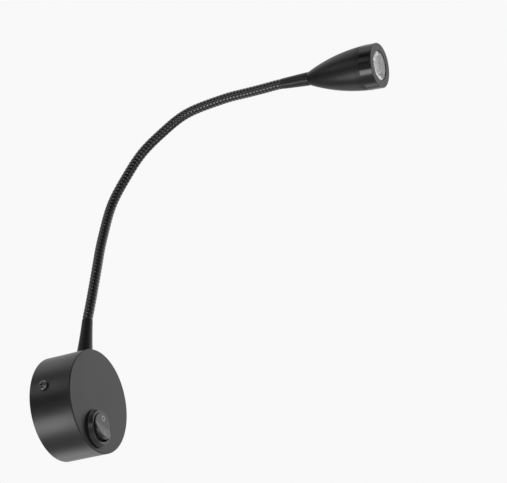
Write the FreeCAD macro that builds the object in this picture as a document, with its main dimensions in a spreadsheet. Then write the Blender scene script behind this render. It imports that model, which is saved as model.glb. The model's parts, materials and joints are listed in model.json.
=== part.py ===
"""Bedside wall reading lamp: a round switched wall base, a bendable neck and a small LED spot head.

Everything is in millimetres. The wall is the plane y = 0 and the lamp stands out towards -Y, with +Z up.
The origin is the point on the wall midway between the two fixing screws, on the axis of the round base.
"""
import FreeCAD, Part
import math
import os
import re
import Sketcher
from FreeCAD import Placement, Rotation, Vector

doc = FreeCAD.newDocument("ReadingLamp")

# ---------------------------------------------------------------- driving dimensions
SIZES = {
    # round wall base
    "drum_radius": 40.0,
    "drum_depth": 35.4,
    "drum_wall": 1.2,
    "drum_face": 1.6,
    "drum_edge": 0.35,
    # bracket screwed to the wall, with an ear at each side for the screws that hold the base
    "bracket_sheet": 1.6,
    "bracket_height": 18.0,
    "ear_height": 10.0,
    "ear_reach": 17.5,
    "ear_clearance": 0.3,
    "wall_slot_spacing": 50.0,
    "wall_slot_width": 4.5,
    "wall_slot_length": 9.0,
    "cable_hole_radius": 5.5,
    # two screws through the side of the base
    "side_screw_setback": 12.5,
    "side_screw_radius": 1.95,
    "side_screw_head_radius": 3.8,
    "side_screw_head_height": 2.3,
    "side_screw_length": 6.0,
    "side_screw_rim": 1.0,
    "side_screw_crown": 2.4,
    "side_screw_socket": 1.3,
    "side_screw_recess": 1.6,
    "screw_clearance": 0.05,
    # rubber bush for the mains cable
    "bush_bore": 3.6,
    "bush_flange": 7.2,
    "bush_lip": 1.6,
    "bush_bevel": 0.6,
    # LED driver and its terminal block, stuck behind the front wall
    "pad_sheet": 1.0,
    "driver_width": 46.0,
    "driver_height": 21.0,
    "driver_thickness": 12.0,
    "driver_rise": 15.0,
    "driver_corner": 2.0,
    "block_width": 26.0,
    "block_height": 13.0,
    "block_depth": 10.5,
    "block_pitch": 8.0,
    "block_wire_radius": 1.7,
    "block_wire_setback": 6.2,
    "block_screw_radius": 1.9,
    "block_screw_height": 4.0,
    "block_screw_sink": 0.6,
    # rocker switch
    "switch_drop": 22.5,
    "bezel_radius": 14.75,
    "bezel_height": 3.0,
    "bezel_round": 1.3,
    "switch_opening": 11.3,
    "switch_barrel": 12.6,
    "switch_barrel_depth": 17.0,
    "switch_cavity_depth": 9.0,
    "rocker_radius": 10.3,
    "rocker_end_height": 3.9,
    "rocker_dish": 1.9,
    "rocker_dish_half": 11.3,
    "rocker_skirt": 3.4,
    "rocker_foot_half": 5.2,
    "rocker_foot_rise": 1.0,
    "rocker_pivot_depth": 1.2,
    "rocker_tilt": 9.5,
    "pivot_radius": 1.1,
    "pivot_end_gap": 0.4,
    "running_clearance": 0.05,
    "tab_width": 6.3,
    "tab_sheet": 0.8,
    "tab_length": 8.0,
    "tab_spacing": 11.0,
    # where the neck leaves the base, and the ferrule there
    "neck_setout": 18.8,
    "saddle_radius": 6.9,
    "saddle_top": 0.9,
    "nipple_radius": 4.9,
    "nipple_length": 9.0,
    "nipple_clearance": 0.2,
    "ferrule_flange": 6.7,
    "ferrule_flange_height": 1.2,
    "ferrule_waist": 5.0,
    "ferrule_waist_height": 18.0,
    "ferrule_length": 31.7,
    "ferrule_mouth": 4.2,
    "ferrule_plug": 6.0,
    "lead_bore": 2.2,
    "inner_saddle": 1.9,
    "lock_washer_sheet": 0.8,
    "lock_washer_radius": 7.4,
    "nut_flats": 13.0,
    "nut_height": 3.0,
    # bendable neck, as a chain of nested links
    "hose_radius": 4.0,
    "link_length": 16.1,
    "link_gap": 0.8,
    "nose_reach": 1.8,
    "nose_radius": 1.0,
    "socket_depth": 2.3,
    "socket_radius": 1.9,
    # ferrule at the head
    "head_ferrule_start": 4.15,
    "head_ferrule_end": 5.35,
    "head_ferrule_length": 24.0,
    "head_ferrule_plug": 4.0,
    "head_nipple_radius": 3.9,
    "head_nipple_length": 12.2,
    "neck_ring_sheet": 0.5,
    "neck_ring_radius": 5.0,
    # lamp head, measured from the neck along its axis
    "head_neck_radius": 5.0,
    "head_radius": 17.6,
    "head_length": 61.0,
    "head_curve_end": 58.0,
    "front_ring_length": 10.6,
    "head_floor": 8.5,
    "head_wall": 1.3,
    "head_step": 20.0,
    "head_seat": 38.0,
    "head_bore": 14.6,
    "spigot_radius": 16.1,
    "spigot_length": 5.6,
    "ring_lip": 1.6,
    "lens_opening": 11.6,
    "neck_nut_flats": 11.0,
    "neck_nut_height": 3.0,
    "heat_sink_thickness": 5.0,
    "board_radius": 12.9,
    "board_sheet": 1.6,
    "emitter_side": 5.0,
    "emitter_base": 0.8,
    "emitter_dome": 1.9,
    "emitter_dome_top": 1.1,
    "emitter_dome_height": 1.5,
    "board_screw_offset": 8.0,
    "board_screw_radius": 1.0,
    "board_screw_length": 5.6,
    "board_screw_head": 1.9,
    "board_screw_head_height": 1.2,
    "holder_radius": 13.2,
    "holder_wall": 1.2,
    "lens_flange": 12.9,
    "lens_flange_sheet": 1.5,
    "lens_rear": 4.4,
    "lens_pocket_radius": 2.9,
    "lens_pocket_depth": 3.0,
    "lens_lift": 1.6,
    "lens_side_gap": 0.3,
    "gasket_sheet": 0.4,
}

# The neck's rest shape, from the base to the head: each run as a share of the neck's length, and how far
# it turns forward in degrees.
NECK_RUNS = [
    (0.010, 7.3),
    (0.221, -2.9),
    (0.176, 21.9),
    (0.169, 22.3),
    (0.152, 29.9),
    (0.107, 16.8),
    (0.107, -3.0),
    (0.055, 4.7),
]
LINK_COUNT = 18

# Where the straight cuts that stand for the head's curve meet, as shares of the curve's length.
BULLET_STATIONS = (0.16, 0.36, 0.6)

sheet = doc.addObject("Spreadsheet::Sheet", "Sizes")
for row, (name, size) in enumerate(SIZES.items(), 1):
    sheet.set(f"A{row}", name)
    sheet.set(f"B{row}", str(size))
    sheet.setAlias(f"B{row}", name)
doc.recompute()

NODES = []  # the finished sub-parts, in order


# ---------------------------------------------------------------- helpers
def formula(text):
    """The sheet's form of a size expression: each word becomes a cell of the sheet."""
    return re.sub(r"\b(?!sqrt\b)[a-z]\w+", lambda word: "Sizes." + word.group(0), text)


def size(text):
    """The number that a size expression gives."""
    return float(sheet.evalExpression(formula(text)))


def node(obj, label, placement=None):
    """Name a finished sub-part, place it and add it to the list."""
    obj.Label = label
    if placement is not None:
        obj.Placement = placement
    NODES.append(obj)
    return obj


def origin_plane(body, role):
    return next(item for item in body.Origin.OriginFeatures if item.Role == role)


def sketch_on(body, role):
    sketch = body.newObject("Sketcher::SketchObject", "Sketch")
    sketch.AttachmentSupport = [(origin_plane(body, role), "")]
    sketch.MapMode = "FlatFace"
    return sketch


def tie_point(sketch, geometry, end, x_text, y_text):
    """Hold one end of a line at a place given by two size expressions."""
    for kind, text, axis in (("DistanceX", x_text, -2), ("DistanceY", y_text, -1)):
        if text == "0":
            sketch.addConstraint(Sketcher.Constraint("PointOnObject", geometry, end, axis))
            continue
        spot = sketch.addConstraint(Sketcher.Constraint(kind, -1, 1, geometry, end, size(text)))
        sketch.setExpression(f"Constraints[{spot}]", formula(text))


def outline(body, role, points):
    """A closed sketch of straight lines through points, each a pair of size expressions."""
    sketch = sketch_on(body, role)
    spots = [Vector(size(x), size(y), 0) for x, y in points]
    following = spots[1:] + spots[:1]
    for spot, after in zip(spots, following):
        sketch.addGeometry(Part.LineSegment(spot, after), False)
    for index, (x_text, y_text) in enumerate(points):
        sketch.addConstraint(Sketcher.Constraint("Coincident", index, 2, (index + 1) % len(points), 1))
        tie_point(sketch, index, 1, x_text, y_text)
    return sketch


def circles(body, role, spots):
    """A sketch of circles, each given as x, y and radius expressions."""
    sketch = sketch_on(body, role)
    for index, (x_text, y_text, radius_text) in enumerate(spots):
        centre = Vector(size(x_text), size(y_text), 0)
        sketch.addGeometry(Part.Circle(centre, Vector(0, 0, 1), size(radius_text)), False)
        tie_point(sketch, index, 3, x_text, y_text)
        spot = sketch.addConstraint(Sketcher.Constraint("Radius", index, size(radius_text)))
        sketch.setExpression(f"Constraints[{spot}]", formula(radius_text))
    return sketch


def new_body(name):
    return doc.addObject("PartDesign::Body", name)


def turned(name, role, points):
    """A body turned about the sketch's vertical axis: Y on XY_Plane, Z on XZ_Plane."""
    body = new_body(name)
    sketch = outline(body, role, points)
    turn = body.newObject("PartDesign::Revolution", "Turned")
    turn.Profile = sketch
    turn.ReferenceAxis = (sketch, ["V_Axis"])
    turn.Angle = 360
    return body


def padded(body, sketch, length_text, symmetric=False, backwards=False):
    pad = body.newObject("PartDesign::Pad", "Pad")
    pad.Profile = sketch
    pad.setExpression("Length", formula(length_text))
    pad.Midplane = symmetric
    pad.Reversed = backwards
    return pad


def cut(body, sketch, length_text, backwards=False, symmetric=False):
    """A pocket that must take material away."""
    doc.recompute()
    before = body.Shape.Volume
    pocket = body.newObject("PartDesign::Pocket", "Pocket")
    pocket.Profile = sketch
    pocket.setExpression("Length", formula(length_text))
    pocket.Reversed = backwards
    pocket.Midplane = symmetric
    doc.recompute()
    if body.Shape.Volume >= before - 1e-6:
        raise RuntimeError(f"{body.Name}: a pocket cuts nothing")
    return pocket


def along_x(sign=1):
    """The rotation that lays a piece's +Z along +X or -X."""
    return Rotation(Vector(0, 1, 0), 90 * sign)


def hexagon(body, role, flats_text):
    """A hexagon about the origin, drawn with its corners tied to the width across flats."""
    corners = []
    for index in range(6):
        angle = math.radians(60 * index)
        across = f"{flats_text} / sqrt(3)"
        x_text = f"{across} * {round(math.cos(angle), 6)}" if abs(math.cos(angle)) > 1e-9 else "0"
        y_text = f"{across} * {round(math.sin(angle), 6)}" if abs(math.sin(angle)) > 1e-9 else "0"
        corners.append((x_text, y_text))
    return outline(body, role, corners)


# ---------------------------------------------------------------- wall base
def make_base_cup():
    """The turned cup: open at the wall, with holes for the switch, the neck and the two side screws."""
    cup = turned("BaseCup", "XY_Plane", [
        ("drum_radius - drum_wall", "0"),
        ("drum_radius", "0"),
        ("drum_radius", "-drum_depth + drum_edge"),
        ("drum_radius - drum_edge", "-drum_depth"),
        ("0", "-drum_depth"),
        ("0", "-drum_depth + drum_face"),
        ("drum_radius - drum_wall", "-drum_depth + drum_face"),
    ])
    switch_hole = circles(cup, "XZ_Plane", [("0", "-switch_drop", "switch_barrel + nipple_clearance")])
    cut(cup, switch_hole, "drum_depth * 2", symmetric=True)
    neck_hole = circles(cup, "XY_Plane", [("0", "-neck_setout", "nipple_radius + nipple_clearance")])
    cut(cup, neck_hole, "drum_radius + saddle_top", backwards=True)
    side_holes = circles(cup, "YZ_Plane", [("-side_screw_setback", "0", "side_screw_radius + nipple_clearance")])
    cut(cup, side_holes, "drum_radius * 3", symmetric=True)
    return node(cup, "base_cup")


def wall_slots(bracket):
    """The two slots for the wall screws: a box between two round ends, one slot each side of the middle."""
    half_width = "wall_slot_width / 2"
    half_flat = "(wall_slot_length - wall_slot_width) / 2"
    outer_end, inner_end = f"wall_slot_spacing / 2 + {half_flat}", f"wall_slot_spacing / 2 - {half_flat}"
    for end in (outer_end, inner_end):
        rounds = circles(bracket, "XZ_Plane", [(f"-({end})", "0", half_width), (end, "0", half_width)])
        cut(bracket, rounds, "bracket_sheet * 2", symmetric=True)
    for side in ("-", ""):
        flats = outline(bracket, "XZ_Plane", [
            (f"{side}({inner_end})", f"-{half_width}"),
            (f"{side}({outer_end})", f"-{half_width}"),
            (f"{side}({outer_end})", half_width),
            (f"{side}({inner_end})", half_width),
        ])
        cut(bracket, flats, "bracket_sheet * 2", symmetric=True)


def make_wall_bracket():
    """The strap that is screwed to the wall, with an ear bent forward at each end for a side screw."""
    ear_face = "sqrt((drum_radius - drum_wall)^2 - (ear_height / 2)^2) - ear_clearance"
    bracket = new_body("WallBracket")
    strap = outline(bracket, "XZ_Plane", [
        (f"-({ear_face})", "-ear_height / 2"),
        (f"-({ear_face}) + ear_height", "-bracket_height / 2"),
        (f"{ear_face} - ear_height", "-bracket_height / 2"),
        (ear_face, "-ear_height / 2"),
        (ear_face, "ear_height / 2"),
        (f"{ear_face} - ear_height", "bracket_height / 2"),
        (f"-({ear_face}) + ear_height", "bracket_height / 2"),
        (f"-({ear_face})", "ear_height / 2"),
    ])
    padded(bracket, strap, "bracket_sheet")
    for side in ("", "-"):
        ear = outline(bracket, "XY_Plane", [
            (f"{side}({ear_face})", "0"),
            (f"{side}({ear_face})", "-ear_reach"),
            (f"{side}({ear_face} - bracket_sheet)", "-ear_reach"),
            (f"{side}({ear_face} - bracket_sheet)", "0"),
        ])
        padded(bracket, ear, "ear_height", symmetric=True)
    wall_slots(bracket)
    cable_hole = circles(bracket, "XZ_Plane", [("0", "0", "cable_hole_radius")])
    cut(bracket, cable_hole, "bracket_sheet * 2", symmetric=True)
    screw_holes = circles(bracket, "YZ_Plane", [("-side_screw_setback", "0", "side_screw_radius + screw_clearance")])
    cut(bracket, screw_holes, "drum_radius * 3", symmetric=True)
    return node(bracket, "wall_bracket")


def make_side_screws():
    """Two pan-head screws with a recess, through the cup and into the bracket's ears."""
    screw = turned("SideScrew", "XZ_Plane", [
        ("0", "-side_screw_length"),
        ("side_screw_radius", "-side_screw_length"),
        ("side_screw_radius", "0"),
        ("side_screw_head_radius", "0"),
        ("side_screw_head_radius", "side_screw_rim"),
        ("side_screw_crown", "side_screw_head_height"),
        ("side_screw_socket", "side_screw_head_height"),
        ("side_screw_socket", "side_screw_head_height - side_screw_recess"),
        ("0", "side_screw_head_height - side_screw_recess"),
    ])
    doc.recompute()
    seat = size("drum_radius")
    setback = -size("side_screw_setback")
    copies = []
    for index, side in enumerate((-1, 1)):
        copy = doc.addObject("Part::Feature", f"SideScrew{index}")
        copy.Shape = screw.Shape.copy()
        copy.Placement = Placement(Vector(side * seat, setback, 0), along_x(side))
        copies.append(copy)
    pair = doc.addObject("Part::Compound", "SideScrews")
    pair.Links = copies
    return node(pair, "side_screws")


def make_cable_bush():
    """The rubber bush in the bracket's middle hole, where the mains cable comes out of the wall."""
    bush = turned("CableBush", "XY_Plane", [
        ("bush_bore", "0"),
        ("cable_hole_radius", "0"),
        ("cable_hole_radius", "-bracket_sheet"),
        ("bush_flange", "-bracket_sheet"),
        ("bush_flange - bush_bevel", "-bracket_sheet - bush_lip"),
        ("bush_bore", "-bracket_sheet - bush_lip"),
    ])
    return node(bush, "cable_bush")


def box_body(name, x_half, z_low, z_high, y_back, depth):
    """A block with its back at y_back, reaching forward by depth."""
    body = new_body(name)
    face = outline(body, "XZ_Plane", [
        (f"-({x_half})", z_low),
        (x_half, z_low),
        (x_half, z_high),
        (f"-({x_half})", z_high),
    ])
    padded(body, face, depth)
    return body


def make_driver():
    """The LED driver, stuck behind the front wall by a foam pad, with the terminal block on its back."""
    pad_front = "drum_depth - drum_face"
    low, high = "driver_rise - driver_height / 2", "driver_rise + driver_height / 2"
    pad = box_body("DriverPad", "driver_width / 2 - driver_corner", low, high, "0", "pad_sheet")
    node(pad, "driver_pad", Placement(Vector(0, -size(f"{pad_front} - pad_sheet"), 0), Rotation()))

    driver = box_body("LedDriver", "driver_width / 2", low, high, "0", "driver_thickness")
    doc.recompute()
    upright = [f"Edge{n}" for n, edge in enumerate(driver.Shape.Edges, 1)
               if abs(edge.tangentAt(edge.FirstParameter).y) > 0.99]
    block_pad = driver.Tip
    rounding = driver.newObject("PartDesign::Fillet", "Corners")
    rounding.Base = (block_pad, upright)
    rounding.setExpression("Radius", formula("driver_corner"))
    driver_front = f"{pad_front} - pad_sheet"
    node(driver, "led_driver", Placement(Vector(0, -size(f"{driver_front} - driver_thickness"), 0), Rotation()))

    block = box_body("TerminalBlock", "block_width / 2", "driver_rise - block_height / 2",
                     "driver_rise + block_height / 2", "0", "block_depth")
    wires = circles(block, "XY_Plane", [
        (x_text, "-block_wire_setback", "block_wire_radius")
        for x_text in ("-block_pitch", "0", "block_pitch")
    ])
    cut(block, wires, "driver_width * 2", symmetric=True)
    screw_wells = circles(block, "XZ_Plane", [
        (x_text, "driver_rise", "block_screw_radius + screw_clearance")
        for x_text in ("-block_pitch", "0", "block_pitch")
    ])
    cut(block, screw_wells, "block_screw_height + block_screw_sink", backwards=True)
    block_back = f"{driver_front} - driver_thickness - block_depth"
    block_place = Placement(Vector(0, -size(block_back), 0), Rotation())
    node(block, "terminal_block", block_place)

    screws = []
    for index in range(3):
        screw = turned(f"BlockScrew{index}", "XY_Plane", [
            ("0", "-block_screw_height - block_screw_sink"),
            ("block_screw_radius", "-block_screw_height - block_screw_sink"),
            ("block_screw_radius", "-block_screw_sink"),
            ("0", "-block_screw_sink"),
        ])
        place = Vector((index - 1) * size("block_pitch"), -size(block_back), size("driver_rise"))
        screw.Placement = Placement(place, Rotation())
        screws.append(screw)
    group = doc.addObject("Part::Compound", "TerminalScrews")
    group.Links = screws
    node(group, "terminal_screws")


# ---------------------------------------------------------------- rocker switch
def make_switch():
    """The round rocker switch: bezel and barrel in one moulding, a dished rocker on a pin, and two tabs."""
    panel = Vector(0, -size("drum_depth"), -size("switch_drop"))
    place = Placement(panel, Rotation())
    housing = turned("SwitchHousing", "XY_Plane", [
        ("0", "switch_barrel_depth"),
        ("switch_barrel", "switch_barrel_depth"),
        ("switch_barrel", "0"),
        ("bezel_radius", "0"),
        ("bezel_radius", "-bezel_height + bezel_round"),
        ("bezel_radius - bezel_round", "-bezel_height"),
        ("switch_opening", "-bezel_height"),
        ("switch_opening", "switch_cavity_depth"),
        ("0", "switch_cavity_depth"),
    ])
    pin_hole = circles(housing, "YZ_Plane", [("rocker_pivot_depth", "0", "pivot_radius")])
    cut(housing, pin_hole, "(switch_barrel - pivot_end_gap) * 2", symmetric=True)
    node(housing, "switch_housing", place)

    slab = new_body("RockerSlab")
    side = outline(slab, "YZ_Plane", [
        ("-rocker_end_height", "-rocker_dish_half"),
        ("rocker_skirt - rocker_foot_rise", "-rocker_dish_half"),
        ("rocker_skirt", "-rocker_foot_half"),
        ("rocker_skirt", "rocker_foot_half"),
        ("rocker_skirt - rocker_foot_rise", "rocker_dish_half"),
        ("-rocker_end_height", "rocker_dish_half"),
        ("-rocker_end_height + rocker_dish", "0"),
    ])
    padded(slab, side, "rocker_dish_half * 2", symmetric=True)
    pivot_bore = circles(slab, "YZ_Plane", [("rocker_pivot_depth", "0", "pivot_radius + running_clearance")])
    cut(slab, pivot_bore, "rocker_radius * 3", symmetric=True)
    barrel = doc.addObject("Part::Cylinder", "RockerRound")
    barrel.setExpression("Radius", formula("rocker_radius"))
    barrel.setExpression("Height", formula("rocker_radius * 2"))
    barrel.Placement = Placement(Vector(0, size("rocker_radius"), 0), Rotation(Vector(1, 0, 0), 90))
    rocker = doc.addObject("Part::Common", "SwitchRocker")
    rocker.Base = slab
    rocker.Tool = barrel
    pivot = Vector(0, size("rocker_pivot_depth"), 0)
    tilt = Rotation(Vector(1, 0, 0), -size("rocker_tilt"))
    node(rocker, "switch_rocker", Placement(panel + pivot - tilt.multVec(pivot), tilt))

    pin = doc.addObject("Part::Cylinder", "SwitchPin")
    pin.setExpression("Radius", formula("pivot_radius"))
    pin.setExpression("Height", formula("(switch_barrel - pivot_end_gap) * 2"))
    pin_start = Vector(-size("switch_barrel - pivot_end_gap"), 0, 0)
    node(pin, "switch_pin", Placement(panel + pivot + pin_start, along_x()))

    tabs = []
    for index, side_sign in enumerate((-1, 1)):
        tab = doc.addObject("Part::Box", f"SwitchTab{index}")
        tab.setExpression("Length", formula("tab_width"))
        tab.setExpression("Width", formula("tab_length"))
        tab.setExpression("Height", formula("tab_sheet"))
        corner = Vector(-size("tab_width / 2"), size("switch_barrel_depth"),
                        side_sign * size("tab_spacing / 2") - size("tab_sheet / 2"))
        tab.Placement = Placement(panel + corner, Rotation())
        tabs.append(tab)
    pair = doc.addObject("Part::Compound", "SwitchTabs")
    pair.Links = tabs
    node(pair, "switch_tabs")


# ---------------------------------------------------------------- neck root
def neck_root():
    """The point on top of the base where the neck's axis leaves it."""
    return Vector(0, -size("neck_setout"), size("drum_radius"))


def saddle(name, low_text, high_text, drum_text, operation):
    """A washer with one flat face and one that follows the round side of the base, outside it or inside."""
    ring = turned(f"{name}Ring", "XZ_Plane", [
        ("nipple_radius", low_text),
        ("saddle_radius", low_text),
        ("saddle_radius", high_text),
        ("nipple_radius", high_text),
    ])
    ring.Placement = Placement(Vector(0, -size("neck_setout"), 0), Rotation())
    drum = doc.addObject("Part::Cylinder", f"{name}Drum")
    drum.setExpression("Radius", formula(drum_text))
    drum.setExpression("Height", formula("drum_depth"))
    drum.Placement = Placement(Vector(0, 0, 0), Rotation(Vector(1, 0, 0), 90))
    washer = doc.addObject(operation, name)
    washer.Base = ring
    washer.Tool = drum
    return washer


def make_neck_fixing():
    """What clamps the neck to the base: the ferrule outside, the washers and the nut inside."""
    root = neck_root()
    ferrule = turned("LowerFerrule", "XZ_Plane", [
        ("lead_bore", "-nipple_length"),
        ("nipple_radius", "-nipple_length"),
        ("nipple_radius", "saddle_top"),
        ("ferrule_flange", "saddle_top"),
        ("ferrule_flange", "saddle_top + ferrule_flange_height"),
        ("ferrule_waist", "ferrule_waist_height"),
        ("ferrule_mouth", "saddle_top + ferrule_length"),
        ("nose_radius", "saddle_top + ferrule_length"),
        ("nose_radius", "saddle_top + ferrule_length + link_gap + nose_reach"),
        ("0", "saddle_top + ferrule_length + link_gap + nose_reach"),
        ("0", "saddle_top + ferrule_length - ferrule_plug"),
        ("lead_bore", "saddle_top + ferrule_length - ferrule_plug"),
    ])
    node(ferrule, "lower_ferrule", Placement(root, Rotation()))
    low, high = "drum_radius - saddle_radius / 2", "drum_radius + saddle_top"
    outer = saddle("OuterSaddle", low, high, "drum_radius", "Part::Cut")
    node(outer, "outer_saddle_washer")
    low, high = "drum_radius - drum_wall - inner_saddle", "drum_radius"
    inner = saddle("InnerSaddle", low, high, "drum_radius - drum_wall", "Part::Common")
    node(inner, "inner_saddle_washer")
    below = "drum_wall + inner_saddle"
    washer = turned("LockWasher", "XZ_Plane", [
        ("nipple_radius", f"-({below}) - lock_washer_sheet"),
        ("lock_washer_radius", f"-({below}) - lock_washer_sheet"),
        ("lock_washer_radius", f"-({below})"),
        ("nipple_radius", f"-({below})"),
    ])
    node(washer, "lock_washer", Placement(root, Rotation()))
    nut = new_body("LockNut")
    padded(nut, hexagon(nut, "XY_Plane", "nut_flats"), "nut_height")
    cut(nut, circles(nut, "XY_Plane", [("0", "0", "nipple_radius")]), "nut_height * 3", symmetric=True)
    nut_top = size(f"{below} + lock_washer_sheet + nut_height")
    node(nut, "lock_nut", Placement(root - Vector(0, 0, nut_top), Rotation()))


# ---------------------------------------------------------------- bendable neck
def heading(links):
    """How far the neck has turned forward from upright, in degrees, that many links along it."""
    reached = links / LINK_COUNT
    turned_by = 0.0
    for share, turn in NECK_RUNS:
        turned_by += turn * min(max(reached / share, 0.0), 1.0)
        reached -= share
    return turned_by


def neck_pivots():
    """Each link's lower pivot and heading, then the head's.

    Junctions come in threes: two that bend forward and back, then one that bends to the sides. A link above
    a sideways junction keeps the heading of the link below it.
    """
    length = size("link_length")
    spot = neck_root() + Vector(0, 0, size("saddle_top + ferrule_length + link_gap"))
    places = []
    first_in_run = 0
    turns = []
    for index in range(LINK_COUNT + 1):
        sideways = index % 3 == 2
        if not sideways:
            first_in_run = index
        turns.append(first_in_run)
    for index in range(LINK_COUNT):
        run = [k for k in range(LINK_COUNT) if turns[k] == turns[index]]
        turn = heading((run[0] + run[-1] + 1) / 2)
        places.append((spot, turn))
        angle = math.radians(turn)
        spot = spot + Vector(0, -math.sin(angle), math.cos(angle)) * length
    places.append((spot, heading(LINK_COUNT + 1)))
    return places


def along_neck(spot, turn):
    """Lay a piece's +Z along the neck, turned forward from upright about the X axis."""
    return Placement(spot, Rotation(Vector(1, 0, 0), turn))


def make_neck():
    """The links: each has a nose on top that sits loosely in the hollow foot of the next."""
    for index, (spot, turn) in enumerate(neck_pivots()[:-1], 1):
        link = turned(f"NeckLink{index}", "XZ_Plane", [
            ("0", "socket_depth"),
            ("socket_radius", "socket_depth"),
            ("socket_radius", "link_gap"),
            ("hose_radius", "link_gap"),
            ("hose_radius", "link_length - link_gap"),
            ("nose_radius", "link_length - link_gap"),
            ("nose_radius", "link_length + nose_reach"),
            ("0", "link_length + nose_reach"),
        ])
        node(link, f"neck_link_{index:02d}", along_neck(spot, turn))


# ---------------------------------------------------------------- lamp head
def bullet_radius(level):
    """The head's outer radius at a level: an arc from the neck that runs straight where the curve ends."""
    narrowing = "(head_radius - head_neck_radius)"
    curve = f"((head_curve_end^2 + {narrowing}^2) / (2 * {narrowing}))"
    return f"head_radius - {curve} + sqrt({curve}^2 - (head_curve_end - ({level}))^2)"


def make_head():
    """The turned head and all that it holds, built along +Z from the neck's last pivot."""
    spot, turn = neck_pivots()[-1]
    place = along_neck(spot, turn)
    neck = place.multiply(Placement(Vector(0, 0, size("head_ferrule_length + neck_ring_sheet")), Rotation()))

    ferrule = turned("UpperFerrule", "XZ_Plane", [
        ("0", "socket_depth"),
        ("socket_radius", "socket_depth"),
        ("socket_radius", "link_gap"),
        ("head_ferrule_start", "link_gap"),
        ("head_ferrule_end", "head_ferrule_length"),
        ("head_nipple_radius", "head_ferrule_length"),
        ("head_nipple_radius", "head_ferrule_length + head_nipple_length"),
        ("lead_bore", "head_ferrule_length + head_nipple_length"),
        ("lead_bore", "socket_depth + head_ferrule_plug"),
        ("0", "socket_depth + head_ferrule_plug"),
    ])
    node(ferrule, "upper_ferrule", place)

    ring = turned("NeckRing", "XZ_Plane", [
        ("head_nipple_radius", "head_ferrule_length"),
        ("neck_ring_radius", "head_ferrule_length"),
        ("neck_ring_radius", "head_ferrule_length + neck_ring_sheet"),
        ("head_nipple_radius", "head_ferrule_length + neck_ring_sheet"),
    ])
    node(ring, "neck_ring", place)

    shoulder = "head_length - front_ring_length"
    bullet = [(bullet_radius(f"head_curve_end * {share}"), f"head_curve_end * {share}")
              for share in BULLET_STATIONS]
    housing = turned("HeadHousing", "XZ_Plane", [
        ("head_nipple_radius + screw_clearance", "0"),
        ("head_neck_radius", "0"),
        *bullet,
        (bullet_radius(shoulder), shoulder),
        ("spigot_radius", shoulder),
        ("spigot_radius", f"{shoulder} + spigot_length"),
        ("head_bore", f"{shoulder} + spigot_length"),
        ("head_bore", "head_seat"),
        (f"{bullet_radius('head_step')} - head_wall", "head_seat"),
        (f"{bullet_radius('head_step')} - head_wall", "head_step"),
        (f"{bullet_radius('head_floor')} - head_wall", "head_step"),
        (f"{bullet_radius('head_floor')} - head_wall", "head_floor"),
        ("head_nipple_radius + screw_clearance", "head_floor"),
    ])
    node(housing, "head_housing", neck)

    nut = new_body("NeckNut")
    padded(nut, hexagon(nut, "XY_Plane", "neck_nut_flats"), "neck_nut_height")
    cut(nut, circles(nut, "XY_Plane", [("0", "0", "head_nipple_radius")]), "neck_nut_height * 3", symmetric=True)
    floor = neck.multiply(Placement(Vector(0, 0, size("head_floor")), Rotation()))
    node(nut, "neck_nut", floor)

    sink = turned("HeatSink", "XZ_Plane", [
        ("0", "head_seat"),
        ("head_bore - screw_clearance", "head_seat"),
        ("head_bore - screw_clearance", "head_seat + heat_sink_thickness"),
        ("0", "head_seat + heat_sink_thickness"),
    ])
    cut(sink, circles(sink, "XY_Plane", [("0", "board_screw_offset", "lead_bore")]),
        "head_length", backwards=True)
    tapped = circles(sink, "XY_Plane", [
        ("-board_screw_offset", "0", "board_screw_radius"),
        ("board_screw_offset", "0", "board_screw_radius"),
    ])
    cut(sink, tapped, "head_length", backwards=True)
    node(sink, "heat_sink", neck)

    board_level = "head_seat + heat_sink_thickness"
    board = turned("LedBoard", "XZ_Plane", [
        ("0", board_level),
        ("board_radius", board_level),
        ("board_radius", f"{board_level} + board_sheet"),
        ("0", f"{board_level} + board_sheet"),
    ])
    board_holes = circles(board, "XY_Plane", [
        ("0", "board_screw_offset", "lead_bore"),
        ("-board_screw_offset", "0", "board_screw_radius"),
        ("board_screw_offset", "0", "board_screw_radius"),
    ])
    cut(board, board_holes, "head_length", backwards=True)
    node(board, "led_board", neck)

    top = f"{board_level} + board_sheet"
    emitter = turned("LedEmitter", "XZ_Plane", [
        ("0", top),
        ("emitter_side / 2", top),
        ("emitter_side / 2", f"{top} + emitter_base"),
        ("emitter_dome", f"{top} + emitter_base"),
        ("emitter_dome_top", f"{top} + emitter_base + emitter_dome_height"),
        ("0", f"{top} + emitter_base + emitter_dome_height"),
    ])
    node(emitter, "led_emitter", neck)

    screws = []
    for index, side in enumerate((-1, 1)):
        screw = turned(f"BoardScrew{index}", "XZ_Plane", [
            ("0", f"{top} - board_screw_length"),
            ("board_screw_radius", f"{top} - board_screw_length"),
            ("board_screw_radius", top),
            ("board_screw_head", top),
            ("board_screw_head", f"{top} + board_screw_head_height"),
            ("0", f"{top} + board_screw_head_height"),
        ])
        shift = Placement(Vector(side * size("board_screw_offset"), 0, 0), Rotation())
        screw.Placement = neck.multiply(shift)
        screws.append(screw)
    pair = doc.addObject("Part::Compound", "BoardScrews")
    pair.Links = screws
    node(pair, "board_screws")

    lens_seat = "head_length - ring_lip - gasket_sheet - lens_flange_sheet"
    holder = turned("LensHolder", "XZ_Plane", [
        ("holder_radius - holder_wall", f"{top}"),
        ("holder_radius", f"{top}"),
        ("holder_radius", lens_seat),
        ("holder_radius - holder_wall", lens_seat),
    ])
    node(holder, "lens_holder", neck)

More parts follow.
